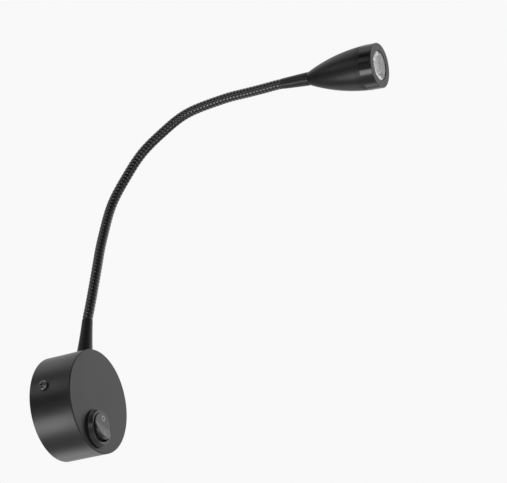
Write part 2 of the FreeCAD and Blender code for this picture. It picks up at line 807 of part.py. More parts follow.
    lens = turned("Lens", "XZ_Plane", [
        ("0", f"{top} + lens_lift + lens_pocket_depth"),
        ("lens_pocket_radius", f"{top} + lens_lift + lens_pocket_depth"),
        ("lens_pocket_radius", f"{top} + lens_lift"),
        ("lens_rear", f"{top} + lens_lift"),
        ("holder_radius - holder_wall - lens_side_gap", lens_seat),
        ("lens_flange", lens_seat),
        ("lens_flange", f"{lens_seat} + lens_flange_sheet"),
        ("0", f"{lens_seat} + lens_flange_sheet"),
    ])
    node(lens, "lens", neck)

    gasket = turned("LensGasket", "XZ_Plane", [
        ("lens_opening", "head_length - ring_lip - gasket_sheet"),
        ("lens_flange", "head_length - ring_lip - gasket_sheet"),
        ("lens_flange", "head_length - ring_lip"),
        ("lens_opening", "head_length - ring_lip"),
    ])
    node(gasket, "lens_gasket", neck)

    front = turned("FrontRing", "XZ_Plane", [
        ("spigot_radius", shoulder),
        ("head_radius", shoulder),
        ("head_radius", "head_length - drum_edge"),
        ("head_radius - drum_edge", "head_length"),
        ("lens_opening", "head_length"),
        ("lens_opening", "head_length - ring_lip"),
        ("spigot_radius", "head_length - ring_lip"),
    ])
    node(front, "front_ring", neck)


# ---------------------------------------------------------------- build, check and write
make_base_cup()
make_wall_bracket()
make_side_screws()
make_cable_bush()
make_driver()
make_switch()
make_neck_fixing()
make_neck()
make_head()
doc.recompute()

for item in doc.Objects:
    if "Invalid" in item.State or "Error" in item.State:
        raise RuntimeError(f"{item.Name} ({item.Label}): {item.State}")
for item in NODES:
    if item.Shape.isNull() or not item.Shape.isValid():
        raise RuntimeError(f"{item.Label}: its shape is empty or not valid")

os.makedirs("parts", exist_ok=True)
for item in NODES:
    item.Shape.exportStep(f"parts/{item.Label}.step")
    print(f"{item.Label}: {len(item.Shape.Solids)} solid(s), {item.Shape.Volume:.1f} mm3")
end, end_turn = neck_pivots()[-1]
print(f"last pivot at y {end.y:.1f}, z {end.z:.1f}, heading {end_turn:.1f}")
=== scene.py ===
# %% [markdown]
# # A bedside wall reading lamp
# This lesson dresses a finished construction model of a small black reading lamp: a round switched
# base on the wall, a bendable metal neck and a turned LED spot head. The construction model is loaded
# as a fixed frame and is never moved. Each visible turned part is drawn again as a smooth surface
# that is worked out from a formula, and every other part keeps its shape and gets a real finish.

# %% load the frame
import json
import math

import bpy
import numpy as np
from mathutils import Matrix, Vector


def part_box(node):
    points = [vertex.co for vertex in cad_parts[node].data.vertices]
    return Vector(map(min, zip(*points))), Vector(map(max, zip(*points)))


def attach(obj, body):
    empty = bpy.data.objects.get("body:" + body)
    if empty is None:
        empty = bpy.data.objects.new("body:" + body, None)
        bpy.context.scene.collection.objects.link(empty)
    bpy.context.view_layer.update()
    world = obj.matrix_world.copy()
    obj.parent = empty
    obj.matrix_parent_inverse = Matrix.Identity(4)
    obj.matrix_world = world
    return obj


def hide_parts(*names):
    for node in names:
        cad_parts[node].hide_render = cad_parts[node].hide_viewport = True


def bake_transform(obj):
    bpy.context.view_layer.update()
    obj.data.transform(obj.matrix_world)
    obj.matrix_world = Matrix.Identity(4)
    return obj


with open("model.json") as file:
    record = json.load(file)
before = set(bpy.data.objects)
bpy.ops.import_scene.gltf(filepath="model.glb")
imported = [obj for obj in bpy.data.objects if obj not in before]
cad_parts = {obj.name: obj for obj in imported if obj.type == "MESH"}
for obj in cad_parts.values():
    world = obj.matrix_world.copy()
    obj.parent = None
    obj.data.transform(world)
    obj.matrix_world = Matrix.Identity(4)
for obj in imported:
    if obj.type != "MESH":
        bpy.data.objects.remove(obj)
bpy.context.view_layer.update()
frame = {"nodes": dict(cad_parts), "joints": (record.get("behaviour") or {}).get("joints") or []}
MM = 0.001

# %% [markdown]
# ## The camera
# The photograph looks up at the lamp from below and from its left, through a long lens, so that
# parallel lines hardly converge. The camera's three directions come from two angles and a small roll.
# Its distance and its shift of aim place the base and the head where the photograph has them.

# %% camera
PHOTO_WIDTH = 507
FOCAL_PIXELS = 1600
SENSOR = 36.0
CLIP_NEAR, CLIP_FAR = 0.01, 50
VIEW_AZIMUTH, VIEW_ELEVATION, VIEW_ROLL = -61.7, -31.2, 1.2
VIEW_DISTANCE, AIM_RIGHT, AIM_UP = 1217 * MM, 147.4 * MM, 128.0 * MM


def view_axes(azimuth, elevation, roll):
    """The camera's right, up and backward directions. Azimuth 0 looks along +Y, and roll turns the frame."""
    a, e, r = np.radians([azimuth, elevation, roll])
    back = np.array([np.sin(a) * np.cos(e), -np.cos(a) * np.cos(e), np.sin(e)])
    right = np.array([np.cos(a), np.sin(a), 0.0])
    up = np.cross(back, right)
    return np.cos(r) * right + np.sin(r) * up, np.cos(r) * up - np.sin(r) * right, back


right, up, back = view_axes(VIEW_AZIMUTH, VIEW_ELEVATION, VIEW_ROLL)
eye = VIEW_DISTANCE * back + AIM_RIGHT * right + AIM_UP * up
camera = bpy.data.objects.new("camera", bpy.data.cameras.new("camera"))
bpy.context.scene.collection.objects.link(camera)
camera.data.sensor_width = SENSOR
camera.data.lens = FOCAL_PIXELS / PHOTO_WIDTH * SENSOR
camera.data.clip_start, camera.data.clip_end = CLIP_NEAR, CLIP_FAR
placing = np.eye(4)
placing[:3, :4] = np.column_stack([right, up, back, eye])
camera.matrix_world = Matrix(placing.tolist())
bpy.context.scene.camera = camera
bpy.context.scene.view_settings.view_transform = "Standard"
print("camera at", eye.round(3), "lens", round(camera.data.lens, 1), "mm")

# %% [markdown]
# ## Shader formulas
# A material is easier to read as a formula than as a drawing of boxes. The class below wraps a
# socket, so that sums and products of sockets write their own Math nodes. One method makes every
# other kind of node: it takes the settings first, then the values or links of its sockets.

# %% shader helper
class Wire:
    """A number on its way through a shader. + - * ** and abs add Math nodes."""

    def __init__(self, paint, socket):
        self.paint, self.socket = paint, socket

    def _maths(self, operation, *values):
        return self.paint.node("ShaderNodeMath", {"operation": operation}, *values)

    def __abs__(self):
        return self._maths("ABSOLUTE", self)


def add_operator(sign, operation):
    """Two methods for a sign: one with the Wire on its left, and one with a plain number there."""
    setattr(Wire, f"__{sign}__", lambda wire, other: wire._maths(operation, wire, other))
    setattr(Wire, f"__r{sign}__", lambda wire, other: wire._maths(operation, other, wire))


for sign, operation in (("add", "ADD"), ("sub", "SUBTRACT"), ("mul", "MULTIPLY"), ("pow", "POWER")):
    add_operator(sign, operation)


class Paint:
    """A node tree under construction."""

    def __init__(self, tree):
        self.tree = tree
        tree.nodes.clear()

    def node(self, kind, settings=None, *values, out=0, **named):
        """A node of a kind with its settings, then its sockets in order or by name, spaces as underscores."""
        made = self.tree.nodes.new(kind)
        for key, value in (settings or {}).items():
            setattr(made, key, value)
        sockets = [(made.inputs[spot], value) for spot, value in enumerate(values)]
        sockets += [(made.inputs[name.replace("_", " ")], value) for name, value in named.items()]
        for socket, value in sockets:
            if isinstance(value, Wire):
                self.tree.links.new(value.socket, socket)
            elif value is not None:
                socket.default_value = value
        return Wire(self, made.outputs[out]) if len(made.outputs) else None

    def object_point(self):
        return self.node("ShaderNodeTexCoord", out="Object")

    def noise(self, where, scale, detail=2.0, rough=0.5):
        """Cloudy values around one half. The scale is in cells per metre."""
        return self.node("ShaderNodeTexNoise", None, Vector=where, Scale=scale, Detail=detail,
                         Roughness=rough, out="Fac")

    def lines(self, along, scale, detail=1.0):
        """Fine lines across a distance: noise that changes along one number only."""
        return self.node("ShaderNodeTexNoise", {"noise_dimensions": "1D"}, W=along, Scale=scale,
                         Detail=detail, Roughness=0.6, out="Fac")

    def part_of(self, point, axis):
        """One coordinate, 0, 1 or 2, of a point."""
        return self.node("ShaderNodeSeparateXYZ", None, point, out=axis)

    def uv(self, axis):
        return self.part_of(self.node("ShaderNodeUVMap", {"uv_map": "UVMap"}), axis)

    def step(self, value, low, high):
        """0 below low and 1 above high, with a straight ramp between."""
        ranged = {"interpolation_type": "LINEAR", "clamp": True}
        return self.node("ShaderNodeMapRange", ranged, Value=value, From_Min=low, From_Max=high)

    def blend(self, share, first, second):
        """The first colour where share is 0 and the second where it is 1."""
        mixer = self.tree.nodes.new("ShaderNodeMix")
        mixer.data_type = "RGBA"
        for socket, value in ((mixer.inputs[0], share), (mixer.inputs[6], first), (mixer.inputs[7], second)):
            if isinstance(value, Wire):
                self.tree.links.new(value.socket, socket)
            else:
                socket.default_value = (*value, 1.0) if isinstance(value, tuple) else value
        return Wire(self, mixer.outputs[2])

    def bumps(self, height, depth):
        """A normal from a height of 0 to 1 that stands for depth in metres."""
        return self.node("ShaderNodeBump", None, Strength=1.0, Distance=depth, Height=height, out="Normal")


def finish(name, colour, roughness, normal=None, **constants):
    """A material with one surface shader. A colour or roughness may be a number or a Wire."""
    def build(recipe):
        material = bpy.data.materials.new(name)
        material.use_nodes = True
        paint = Paint(material.node_tree)
        values = recipe(paint)
        base = values.pop("Base_Color", colour)
        base = (*base, 1.0) if isinstance(base, tuple) else base
        rough = values.pop("Roughness", roughness)
        shader = paint.node("ShaderNodeBsdfPrincipled", None, Base_Color=base, Roughness=rough,
                            **constants, **values)
        paint.node("ShaderNodeOutputMaterial", None, shader)
        return material
    return build


# %% [markdown]
# ## Black finishes
# The lamp is black all over, yet no two of its blacks are alike. The base is satin lacquer on a
# turned cup, the head and the ferrules are glossier, and the switch is moulded plastic. A black surface
# shows itself only by what it reflects, so the work goes into roughness and fine bumps: lacquer has a
# faint orange peel, turned metal has hair lines round its axis, and moulded plastic has a dull grain.

# %% black materials
SATIN_BLACK, WORN_METAL, DUST_GREY = (0.005, 0.005, 0.0052), (0.16, 0.155, 0.15), (0.05, 0.05, 0.052)
TURNING_DEPTHS, WORN_DEPTHS, WORN_RADII = (22 * MM, 35 * MM), (34.9 * MM, 35.1 * MM), (39.5 * MM, 39.7 * MM)
DULL_RAMP, DULL_GAIN = 0.2 * MM, 0.32


@finish("black_satin", SATIN_BLACK, 0.34, Specular_IOR_Level=0.25)
def black_satin(paint):
    """Satin lacquer on the base, with turning lines towards its front edge and a few worn specks there."""
    point = paint.object_point()
    depth = paint.part_of(point, 1)
    near_front = paint.step(depth * -1.0, *TURNING_DEPTHS)
    turning = paint.lines(depth, 5200.0)
    peel = paint.noise(point, 900.0, 3.0)
    cloud = paint.noise(point, 26.0, 3.0)
    from_axis = (paint.part_of(point, 0) ** 2.0 + paint.part_of(point, 2) ** 2.0) ** 0.5
    edge = paint.step(depth * -1.0, *WORN_DEPTHS) * paint.step(from_axis, *WORN_RADII)
    worn = paint.step(paint.noise(point, 150.0, 2.0), 0.66, 0.72) * edge
    return {
        "Base_Color": paint.blend(worn * 0.8, SATIN_BLACK, WORN_METAL),
        "Roughness": 0.31 + cloud * 0.07 + turning * near_front * 0.10,
        "Normal": paint.bumps(peel * 0.35 + turning * near_front * 0.65, 0.006 * MM),
    }


def turned_black(name, colour, low, high, specular, dull_from=1.0):
    """Black on turned metal: hair lines follow the outline's length, which the second UV holds in metres.

    Past the length dull_from the surface is duller, as a face is that was cut across the axis.
    """
    @finish(name, colour, low, Specular_IOR_Level=specular)
    def recipe(paint):
        along = paint.uv(1)
        hair = paint.lines(along, 7000.0, 2.0)
        cloud = paint.noise(paint.object_point(), 60.0, 3.0)
        dust = paint.step(paint.noise(paint.object_point(), 1400.0, 1.0), 0.68, 0.74)
        dull = paint.step(along, dull_from, dull_from + DULL_RAMP) * DULL_GAIN
        return {
            "Base_Color": paint.blend(dust * 0.35, colour, DUST_GREY),
            "Roughness": low + (high - low) * (cloud * 0.6 + hair * 0.4) + dull,
            "Normal": paint.bumps(hair, 0.0015 * MM),
        }
    return recipe


black_gloss = turned_black("black_gloss", (0.004, 0.004, 0.0046), 0.33, 0.42, 0.21)
black_ring = turned_black("black_ring", (0.004, 0.004, 0.004), 0.15, 0.20, 0.27, 12.2 * MM)


def moulded(name, colour, low, high, grain=0.004 * MM, **constants):
    """Moulded plastic or rubber: an even colour with a fine grain, and slow changes of gloss."""
    @finish(name, colour, low, **constants)
    def recipe(paint):
        point = paint.object_point()
        cloud = paint.noise(point, 45.0, 3.0)
        return {
            "Base_Color": paint.blend(cloud * 0.5, colour, tuple(0.8 * part for part in colour)),
            "Roughness": low + (high - low) * cloud,
            "Normal": paint.bumps(paint.noise(point, 3800.0, 3.0), grain),
        }
    return recipe


black_plastic = moulded("black_plastic", (0.009, 0.009, 0.010), 0.28, 0.38, Specular_IOR_Level=0.34)
black_rubber = moulded("black_rubber", (0.02, 0.02, 0.02), 0.62, 0.78, 0.010 * MM)
white_plastic = moulded("white_plastic", (0.78, 0.78, 0.76), 0.38, 0.50)
natural_nylon = moulded("natural_nylon", (0.70, 0.68, 0.60), 0.40, 0.52, Subsurface_Weight=0.15)
white_board = moulded("white_board", (0.80, 0.80, 0.80), 0.30, 0.42)
print("black finishes made")

# %% [markdown]
# ## Bare metals and the rest
# Inside the base and the head there is zinc-plated steel, bare aluminium and brass. Plating has a
# spangle of slightly different greys, and sawn or pressed aluminium has straight lines. The foam
# pad has open pores, and the LED's dot is yellow because its coating turns blue light into white.

# %% metal materials
def metal(name, colour, low, high, spangle, line_axis=None):
    """Bare or plated metal: patches of a slightly different grey, and hair lines across one axis."""
    @finish(name, colour, low, Metallic=1.0)
    def recipe(paint):
        point = paint.object_point()
        patch = paint.noise(point, spangle, 4.0, 0.6)
        values = {
            "Base_Color": paint.blend(patch, tuple(0.82 * part for part in colour), colour),
            "Roughness": low + (high - low) * patch,
        }
        if line_axis is not None:
            hair = paint.lines(paint.part_of(point, line_axis), 6000.0, 2.0)
            values["Normal"] = paint.bumps(hair, 0.002 * MM)
        return values
    return recipe


zinc_steel = metal("zinc_steel", (0.46, 0.47, 0.465), 0.40, 0.56, 420.0)
bright_ring = metal("bright_ring", (0.085, 0.085, 0.085), 0.38, 0.46, 300.0)
black_zinc = metal("black_zinc", (0.10, 0.10, 0.105), 0.32, 0.46, 500.0)
raw_aluminium = metal("raw_aluminium", (0.72, 0.73, 0.74), 0.28, 0.40, 160.0, 2)
brass = metal("brass", (0.78, 0.60, 0.28), 0.22, 0.34, 240.0)


WIRE_BLACK, WIRE_RUBBED = (0.004, 0.004, 0.0045), (0.012, 0.012, 0.0125)


@finish("neck_metal", WIRE_BLACK, 0.18, Specular_IOR_Level=0.42)
def neck_metal(paint):
    """Blackened steel wire: dark in the grooves between the turns and rubbed a little on their crowns."""
    height = paint.part_of(paint.node("ShaderNodeUVMap", {"uv_map": "Ridge"}), 0)
    rubbed = paint.step(height, 0.80, 1.0)
    patch = paint.noise(paint.object_point(), 240.0, 3.0)
    return {
        "Base_Color": paint.blend(rubbed * (0.45 + patch * 0.5), WIRE_BLACK, WIRE_RUBBED),
        "Roughness": 0.17 - rubbed * 0.03 + patch * 0.06,
    }


@finish("grey_foam", (0.10, 0.10, 0.10), 0.95)
def grey_foam(paint):
    """Closed-cell foam: a skin of small pores."""
    pores = paint.step(paint.noise(paint.object_point(), 2600.0, 2.0), 0.35, 0.60)
    return {
        "Base_Color": paint.blend(pores, (0.04, 0.04, 0.04), (0.12, 0.12, 0.12)),
        "Normal": paint.bumps(pores, 0.10 * MM),
    }


@finish("led_phosphor", (0.85, 0.62, 0.10), 0.35, Coat_Weight=0.6, Coat_Roughness=0.08)
def led_phosphor(paint):
    """A yellow coating under a clear dome."""
    speck = paint.noise(paint.object_point(), 5000.0, 2.0)
    return {"Base_Color": paint.blend(speck, (0.80, 0.52, 0.06), (0.90, 0.72, 0.16))}


@finish("clear_lens", (0.96, 0.97, 0.97), 0.03, Transmission_Weight=1.0, IOR=1.49)
def clear_lens(paint):
    """Clear moulded acrylic with a very faint flow mark."""
    flow = paint.noise(paint.object_point(), 120.0, 2.0)
    return {"Roughness": 0.015 + flow * 0.04}


print("metal finishes made")

# %% [markdown]
# ## Surfaces from formulas
# Nearly every part of this lamp was turned on a lathe or wound on a mandrel. Both are grids: one
# number runs along the part and one runs round it. One function turns such a grid into a closed mesh,
# with quads between the rows, a fan at each end, and UVs that hold the turn and the distance along
# the outline. It turns the faces over if the mesh's volume is negative, so that they point outwards.

# %% grid to mesh
SHARP_ANGLE = 32.0


def shade(mesh, sharp_angle):
    mesh.shade_smooth()
    mesh.set_sharp_from_angle(angle=math.radians(sharp_angle))


def add_piece(name, vertices, faces, corner_uv, sharp_angle):
    mesh = bpy.data.meshes.new(name)
    mesh.from_pydata(vertices, [], faces)
    layer = mesh.uv_layers.new(name="UVMap")
    layer.data.foreach_set("uv", np.asarray(corner_uv, dtype=np.float32).ravel())
    shade(mesh, sharp_angle)
    mesh.update()
    piece = bpy.data.objects.new(name, mesh)
    bpy.context.scene.collection.objects.link(piece)
    return piece


def paired(across, climbed):
    """UVs from a share of the turn and a distance along the outline."""
    return np.stack(np.broadcast_arrays(across, climbed), axis=-1)


def skin(name, grid, along, first_pole=None, last_pole=None, ring=False, sharp_angle=SHARP_ANGLE):
    """A closed mesh over grid[row, step]. The steps close, and the rows close as a ring or end in poles."""
    rows, steps, _ = grid.shape
    index = np.arange(rows * steps).reshape(rows, steps)
    after = np.roll(index, -1, axis=1)
    low = np.arange(rows if ring else rows - 1)
    high = (low + 1) % rows
    quads = np.stack([index[low], after[low], after[high], index[high]], axis=-1).reshape(-1, 4)
    turn = np.arange(steps) / steps
    one = 1.0 / steps
    climb = np.append(along, along[-1] + np.linalg.norm(grid[0, 0] - grid[-1, 0]))
    corners = ((turn, low), (turn + one, low), (turn + one, low + 1), (turn, low + 1))
    quad_uv = np.stack([paired(across, climb[level][:, None]) for across, level in corners], axis=2)
    quad_uv = quad_uv.reshape(-1, 4, 2)
    vertices = grid.reshape(-1, 3)
    fans, fan_uv = [], []
    for pole, row, flip in ((first_pole, 0, True), (last_pole, rows - 1, False)):
        if pole is None:
            continue
        centre = np.full(steps, len(vertices))
        vertices = np.vstack([vertices, pole])
        level = climb[row]
        reach = level + (-1 if flip else 1) * np.linalg.norm(pole - grid[row, 0])
        fan = [index[row], after[row], centre]
        edge = [paired(turn, level), paired(turn + one, level), paired(turn + one / 2, reach)]
        if flip:
            fan, edge = fan[::-1], edge[::-1]
        fans.append(np.stack(fan, axis=-1))
        fan_uv.append(np.stack(edge, axis=1))
    triangles = np.vstack([quads[:, [0, 1, 2]], quads[:, [0, 2, 3]], *fans])
    a, b, c = (vertices[triangles[:, corner]] for corner in range(3))
    volume = np.einsum("ij,ij->", a, np.cross(b, c)) / 6
    if volume < 0:
        quads, quad_uv = quads[:, ::-1], quad_uv[:, ::-1]
        fans, fan_uv = [fan[:, ::-1] for fan in fans], [uv[:, ::-1] for uv in fan_uv]
    faces = quads.tolist() + [face for fan in fans for face in fan.tolist()]
    corner_uv = np.vstack([quad_uv.reshape(-1, 2)] + [uv.reshape(-1, 2) for uv in fan_uv])
    return add_piece(name, vertices, faces, corner_uv, sharp_angle)


# %% [markdown]
# ## Turned outlines
# A turned part is drawn as its half outline: pairs of radius and height. A real edge is never
# perfectly sharp, and the thin line of light on a rounded edge is what tells the eye that a part is
# metal. So a corner can carry a radius, and becomes a short arc. A point just past each end of the arc
# keeps the faces beside it flat in the shading.

# %% lathe
ARC_STEPS = 5
SIDE_SHARE, EASE_OF_ARC, EASE_OF_SIDE = 0.45, 0.25, 0.04


def rounded_outline(corners):
    """Corners are (radius, height) or (radius, height, rounding), in millimetres. Gives points in metres."""
    spots = np.array([corner[:2] for corner in corners], dtype=float)
    points = []
    for index, corner in enumerate(corners):
        here, rounding = spots[index], corner[2] if len(corner) > 2 else 0.0
        if not rounding:
            points.append(here[None])
            continue
        before, after = spots[index - 1] - here, spots[(index + 1) % len(spots)] - here
        before_length, after_length = np.linalg.norm(before), np.linalg.norm(after)
        before, after = before / before_length, after / after_length
        half = 0.5 * math.acos(np.clip(before @ after, -1, 1))
        back_off = min(rounding / math.tan(half), SIDE_SHARE * before_length, SIDE_SHARE * after_length)
        radius = back_off * math.tan(half)
        centre = here + (before + after) / np.linalg.norm(before + after) * radius / math.sin(half)
        start, end = here + before * back_off - centre, here + after * back_off - centre
        share = np.linspace(0, 1, ARC_STEPS + 1)[:, None]
        angle = math.pi - 2 * half
        arc = (np.sin((1 - share) * angle) * start + np.sin(share * angle) * end) / math.sin(angle)
        ease = back_off + min(EASE_OF_ARC * rounding, EASE_OF_SIDE * min(before_length, after_length))
        points += [here[None] + before * ease, centre + arc, here[None] + after * ease]
    return np.vstack(points) * MM


def axis_place(origin, axis):
    """An origin and three directions: two across and the axis itself."""
    axis = np.asarray(axis, dtype=float) / np.linalg.norm(axis)
    across = np.cross(axis, [1.0, 0.0, 0.0]) if abs(axis[0]) < 0.9 else np.array([0.0, 0.0, 1.0])
    across /= np.linalg.norm(across)
    return np.asarray(origin, dtype=float), across, np.cross(axis, across), axis


def spokes(place, steps):
    """Each step's turn, and its direction out from the axis: cos turn x across + sin turn x beside."""
    turn = 2 * np.pi * np.arange(steps) / steps
    return turn, np.cos(turn)[:, None] * place[1] + np.sin(turn)[:, None] * place[2]


def lengths_along(points):
    """The distance covered at each point of a row of points."""
    return np.cumsum(np.append(0, np.linalg.norm(np.diff(points, axis=0), axis=1)))


def lathe(name, outline, place, steps=160, sharp_angle=SHARP_ANGLE):
    """point = origin + height x axis + radius x spoke, with one radius and height for each row."""
    origin, axis = place[0], place[3]
    poles = outline[0, 0] < 1e-9 and outline[-1, 0] < 1e-9
    rows = outline[1:-1] if poles else outline
    spoke = spokes(place, steps)[1]
    grid = origin + rows[:, 0, None, None] * spoke + rows[:, 1, None, None] * axis
    ends = [origin + outline[spot, 1] * axis for spot in (0, -1)] if poles else []
    return skin(name, grid, lengths_along(rows), *ends, ring=not poles, sharp_angle=sharp_angle)


def round_skin(name, place, radius, height, pole_heights=(), sharp_angle=SHARP_ANGLE):
    """The same with a radius and height in millimetres for each row and step. Without poles it is a ring."""
    origin, axis = place[0], place[3]
    spoke = spokes(place, height.shape[1])[1]
    grid = origin + (radius[..., None] * spoke + height[..., None] * axis) * MM
    ends = [origin + axis * level * MM for level in pole_heights]
    return skin(name, grid, lengths_along(grid[:, 0]), *ends, ring=not ends, sharp_angle=sharp_angle)


def dress(piece, material, body, slot, *nodes):
    """Give a piece its finish, the body it rides on and the nodes it stands for. The slot is not used."""
    piece.data.materials.clear()
    piece.data.materials.append(material)
    if body is not None:
        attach(piece, body)
    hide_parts(*nodes)
    print(piece.name, len(piece.data.vertices), "points")


def turned(name, corners, place, steps, *look):
    """A lathe piece from the corners of its outline, dressed."""
    dress(lathe(name, rounded_outline(corners), place, steps), *look)


# %% [markdown]
# ## The base
# The base is a shallow round cup, spun or turned from aluminium and lacquered. Its front edge is
# rounded by less than a millimetre. Its size is read from the construction model, whose
# wall plane is y = 0 and whose front looks along -Y. The holes for the neck, the switch and the side
# screws are cut with the Boolean modifier, because they cross a surface that is already curved.

# %% base cup
WALL_AXIS = (0.0, -1.0, 0.0)
cup_low, cup_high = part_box("base_cup")
BASE_RADIUS = 0.5 * (cup_high[0] - cup_low[0]) / MM
BASE_DEPTH = -cup_low[1] / MM
CUP_WALL, CUP_FACE, CUP_EDGE, HOLE_EDGE = 1.2, 1.6, 0.8, 0.15
SWITCH_DROP, NECK_SETOUT, SCREW_SETBACK = 22.5, 18.8, 12.5
BARREL_RADIUS, NIPPLE_RADIUS, SCREW_RADIUS, HOLE_GAP = 12.6, 4.9, 1.95, 0.2


def drilled(piece, drills):
    """Cut round holes. Each drill is a centre, an axis, a radius and a length, in millimetres."""
    for number, (centre, axis, radius, length) in enumerate(drills):
        place = axis_place(np.asarray(centre) * MM, axis)
        rod = np.array([(0, -length / 2), (radius, -length / 2), (radius, length / 2), (0, length / 2)]) * MM
        tool = lathe(f"drill_{number}", rod, place, 96)
        cutting = piece.modifiers.new("hole", "BOOLEAN")
        cutting.operation, cutting.solver, cutting.object = "DIFFERENCE", "EXACT", tool
        bpy.context.view_layer.update()
        whole = bpy.data.meshes.new_from_object(piece.evaluated_get(bpy.context.evaluated_depsgraph_get()))
        piece.modifiers.clear()
        old = piece.data
        piece.data = whole
        whole.name = piece.name
        bpy.data.meshes.remove(old)
        bpy.data.meshes.remove(tool.data)
    shade(piece.data, SHARP_ANGLE)


wall_place = axis_place((0, 0, 0), WALL_AXIS)
base_shell = lathe("base_shell", rounded_outline([
    (0, BASE_DEPTH),
    (BASE_RADIUS, BASE_DEPTH, CUP_EDGE),
    (BASE_RADIUS, 0, HOLE_EDGE),
    (BASE_RADIUS - CUP_WALL, 0, HOLE_EDGE),
    (BASE_RADIUS - CUP_WALL, BASE_DEPTH - CUP_FACE, CUP_EDGE),
    (0, BASE_DEPTH - CUP_FACE),
]), wall_place, 256)
drilled(base_shell, [
    ((0, -BASE_DEPTH, -SWITCH_DROP), WALL_AXIS, BARREL_RADIUS + HOLE_GAP, 12),
    ((0, -NECK_SETOUT, BASE_RADIUS), (0, 0, 1), NIPPLE_RADIUS + HOLE_GAP, 12),
    ((0, -SCREW_SETBACK, 0), (1, 0, 0), SCREW_RADIUS + HOLE_GAP, 2.2 * BASE_RADIUS),
])
dress(base_shell, black_satin, "base", "black_satin_metal", "base_cup")

# %% [markdown]
# ## The side screws
# Two pan-head screws hold the cup on its bracket. The head is a height above the seat for each
# radius and turn: a flat dome with a cross in it, wherever either of two centre lines is near.

# %% side screws
SCREW_HEAD, SCREW_DOME, SCREW_SEAT_GAP = 3.8, 2.3, 0.02
CROSS_HALF, CROSS_REACH, CROSS_DEPTH, CROSS_SLOPE, CROSS_RISE = 0.55, 2.1, 1.5, 0.22, 0.35
DOME_FALL, SCREW_RIM, RIM_ROWS, BESIDE_CROSS = 0.42, 0.3, 5, 0.8
INNER_ROWS = np.linspace(0.12, CROSS_REACH + CROSS_SLOPE, 18)
OUTER_ROWS = np.linspace(2.7, SCREW_HEAD - 0.35, 4)
SHANK_LENGTH = 6.0


def smooth(value, low, high):
    share = np.clip((value - low) / (high - low), 0, 1)
    return share * share * (3 - 2 * share)


def screw_head_height(radius, turn):
    """A dome that falls as the fourth power of the radius, less a cross that is deepest at the middle."""
    dome = SCREW_DOME * (1 - DOME_FALL * (radius / SCREW_HEAD) ** 4)
    x, y = radius * np.cos(turn), radius * np.sin(turn)
    arm = np.minimum(np.abs(x), np.abs(y))
    in_arm = 1 - smooth(arm, CROSS_HALF, CROSS_HALF + CROSS_SLOPE)
    in_reach = 1 - smooth(radius, CROSS_REACH, CROSS_REACH + CROSS_SLOPE)
    return dome - CROSS_DEPTH * (in_arm * in_reach) * (1 - CROSS_RISE * radius / CROSS_REACH)


def pan_screw(name, place, steps=96):
    """Rows go from the middle of the dome over its rounded rim to the seat, and down the shank."""
    turn = spokes(place, steps)[0]
    top = np.concatenate([INNER_ROWS, OUTER_ROWS])
    corner = np.linspace(0, np.pi / 2, RIM_ROWS)
    rim_radius = SCREW_HEAD - SCREW_RIM + SCREW_RIM * np.sin(corner)
    rim_base = screw_head_height(SCREW_HEAD - SCREW_RIM, BESIDE_CROSS) - SCREW_RIM
    radius = np.concatenate([top, rim_radius, [SCREW_HEAD, SCREW_RADIUS, SCREW_RADIUS]])[:, None] + 0 * turn
    height = np.zeros_like(radius)
    height[:len(top)] = screw_head_height(radius[:len(top)], turn)
    height[len(top):-3] = (rim_base + SCREW_RIM * np.cos(corner))[:, None]
    height[-3:] = np.array([SCREW_SEAT_GAP, SCREW_SEAT_GAP, -SHANK_LENGTH])[:, None]
    poles = screw_head_height(0.0, 0.0), -SHANK_LENGTH
    return round_skin(name, place, radius, height, poles, sharp_angle=40.0)


for side, side_name in ((-1, "left"), (1, "right")):
    seat = np.array([side * BASE_RADIUS, -SCREW_SETBACK, 0]) * MM
    screw = pan_screw(f"side_screw_{side_name}", axis_place(seat, (side, 0, 0)))
    dress(screw, black_zinc, "base", "black_satin_metal", "side_screws")

# %% [markdown]
# ## The rocker switch
# The switch is one moulding with a round bezel and a barrel that goes through the front of the base,
# and a dished rocker that tips on a pin. The bezel is an outline turned about the switch's axis.
# The rocker is a disc whose height above the panel dips in a shallow trough along the pin, and
# which is turned about the pin by the angle at which the photograph shows it: its top end is in.

# %% switch housing
BEZEL_RADIUS, BEZEL_RIM, BEZEL_HEIGHT, SWITCH_OPENING = 14.75, 1.6, 4.6, 10.9
BEZEL_SHOULDER, BEZEL_CROWN, BEZEL_STEP, BEZEL_DIP = 14.2, 12.9, 0.2, 0.4
BARREL_DEPTH, CAVITY_DEPTH = 17.0, 9.0
panel_point = np.array([0, -BASE_DEPTH, -SWITCH_DROP]) * MM
switch_place = axis_place(panel_point, WALL_AXIS)
turned("switch_bezel", [
    (0, -BARREL_DEPTH),
    (BARREL_RADIUS, -BARREL_DEPTH, 0.6),
    (BARREL_RADIUS, 0),
    (BEZEL_RADIUS, 0, 0.12),
    (BEZEL_RADIUS, BEZEL_RIM, 0.25),
    (BEZEL_SHOULDER, BEZEL_RIM + BEZEL_STEP),
    (BEZEL_CROWN, BEZEL_HEIGHT, 0.6),
    (SWITCH_OPENING, BEZEL_HEIGHT - BEZEL_DIP, 0.3),
    (SWITCH_OPENING, -CAVITY_DEPTH),
    (0, -CAVITY_DEPTH),
], switch_place, 160, black_plastic, "base", "black_plastic", "switch_housing")

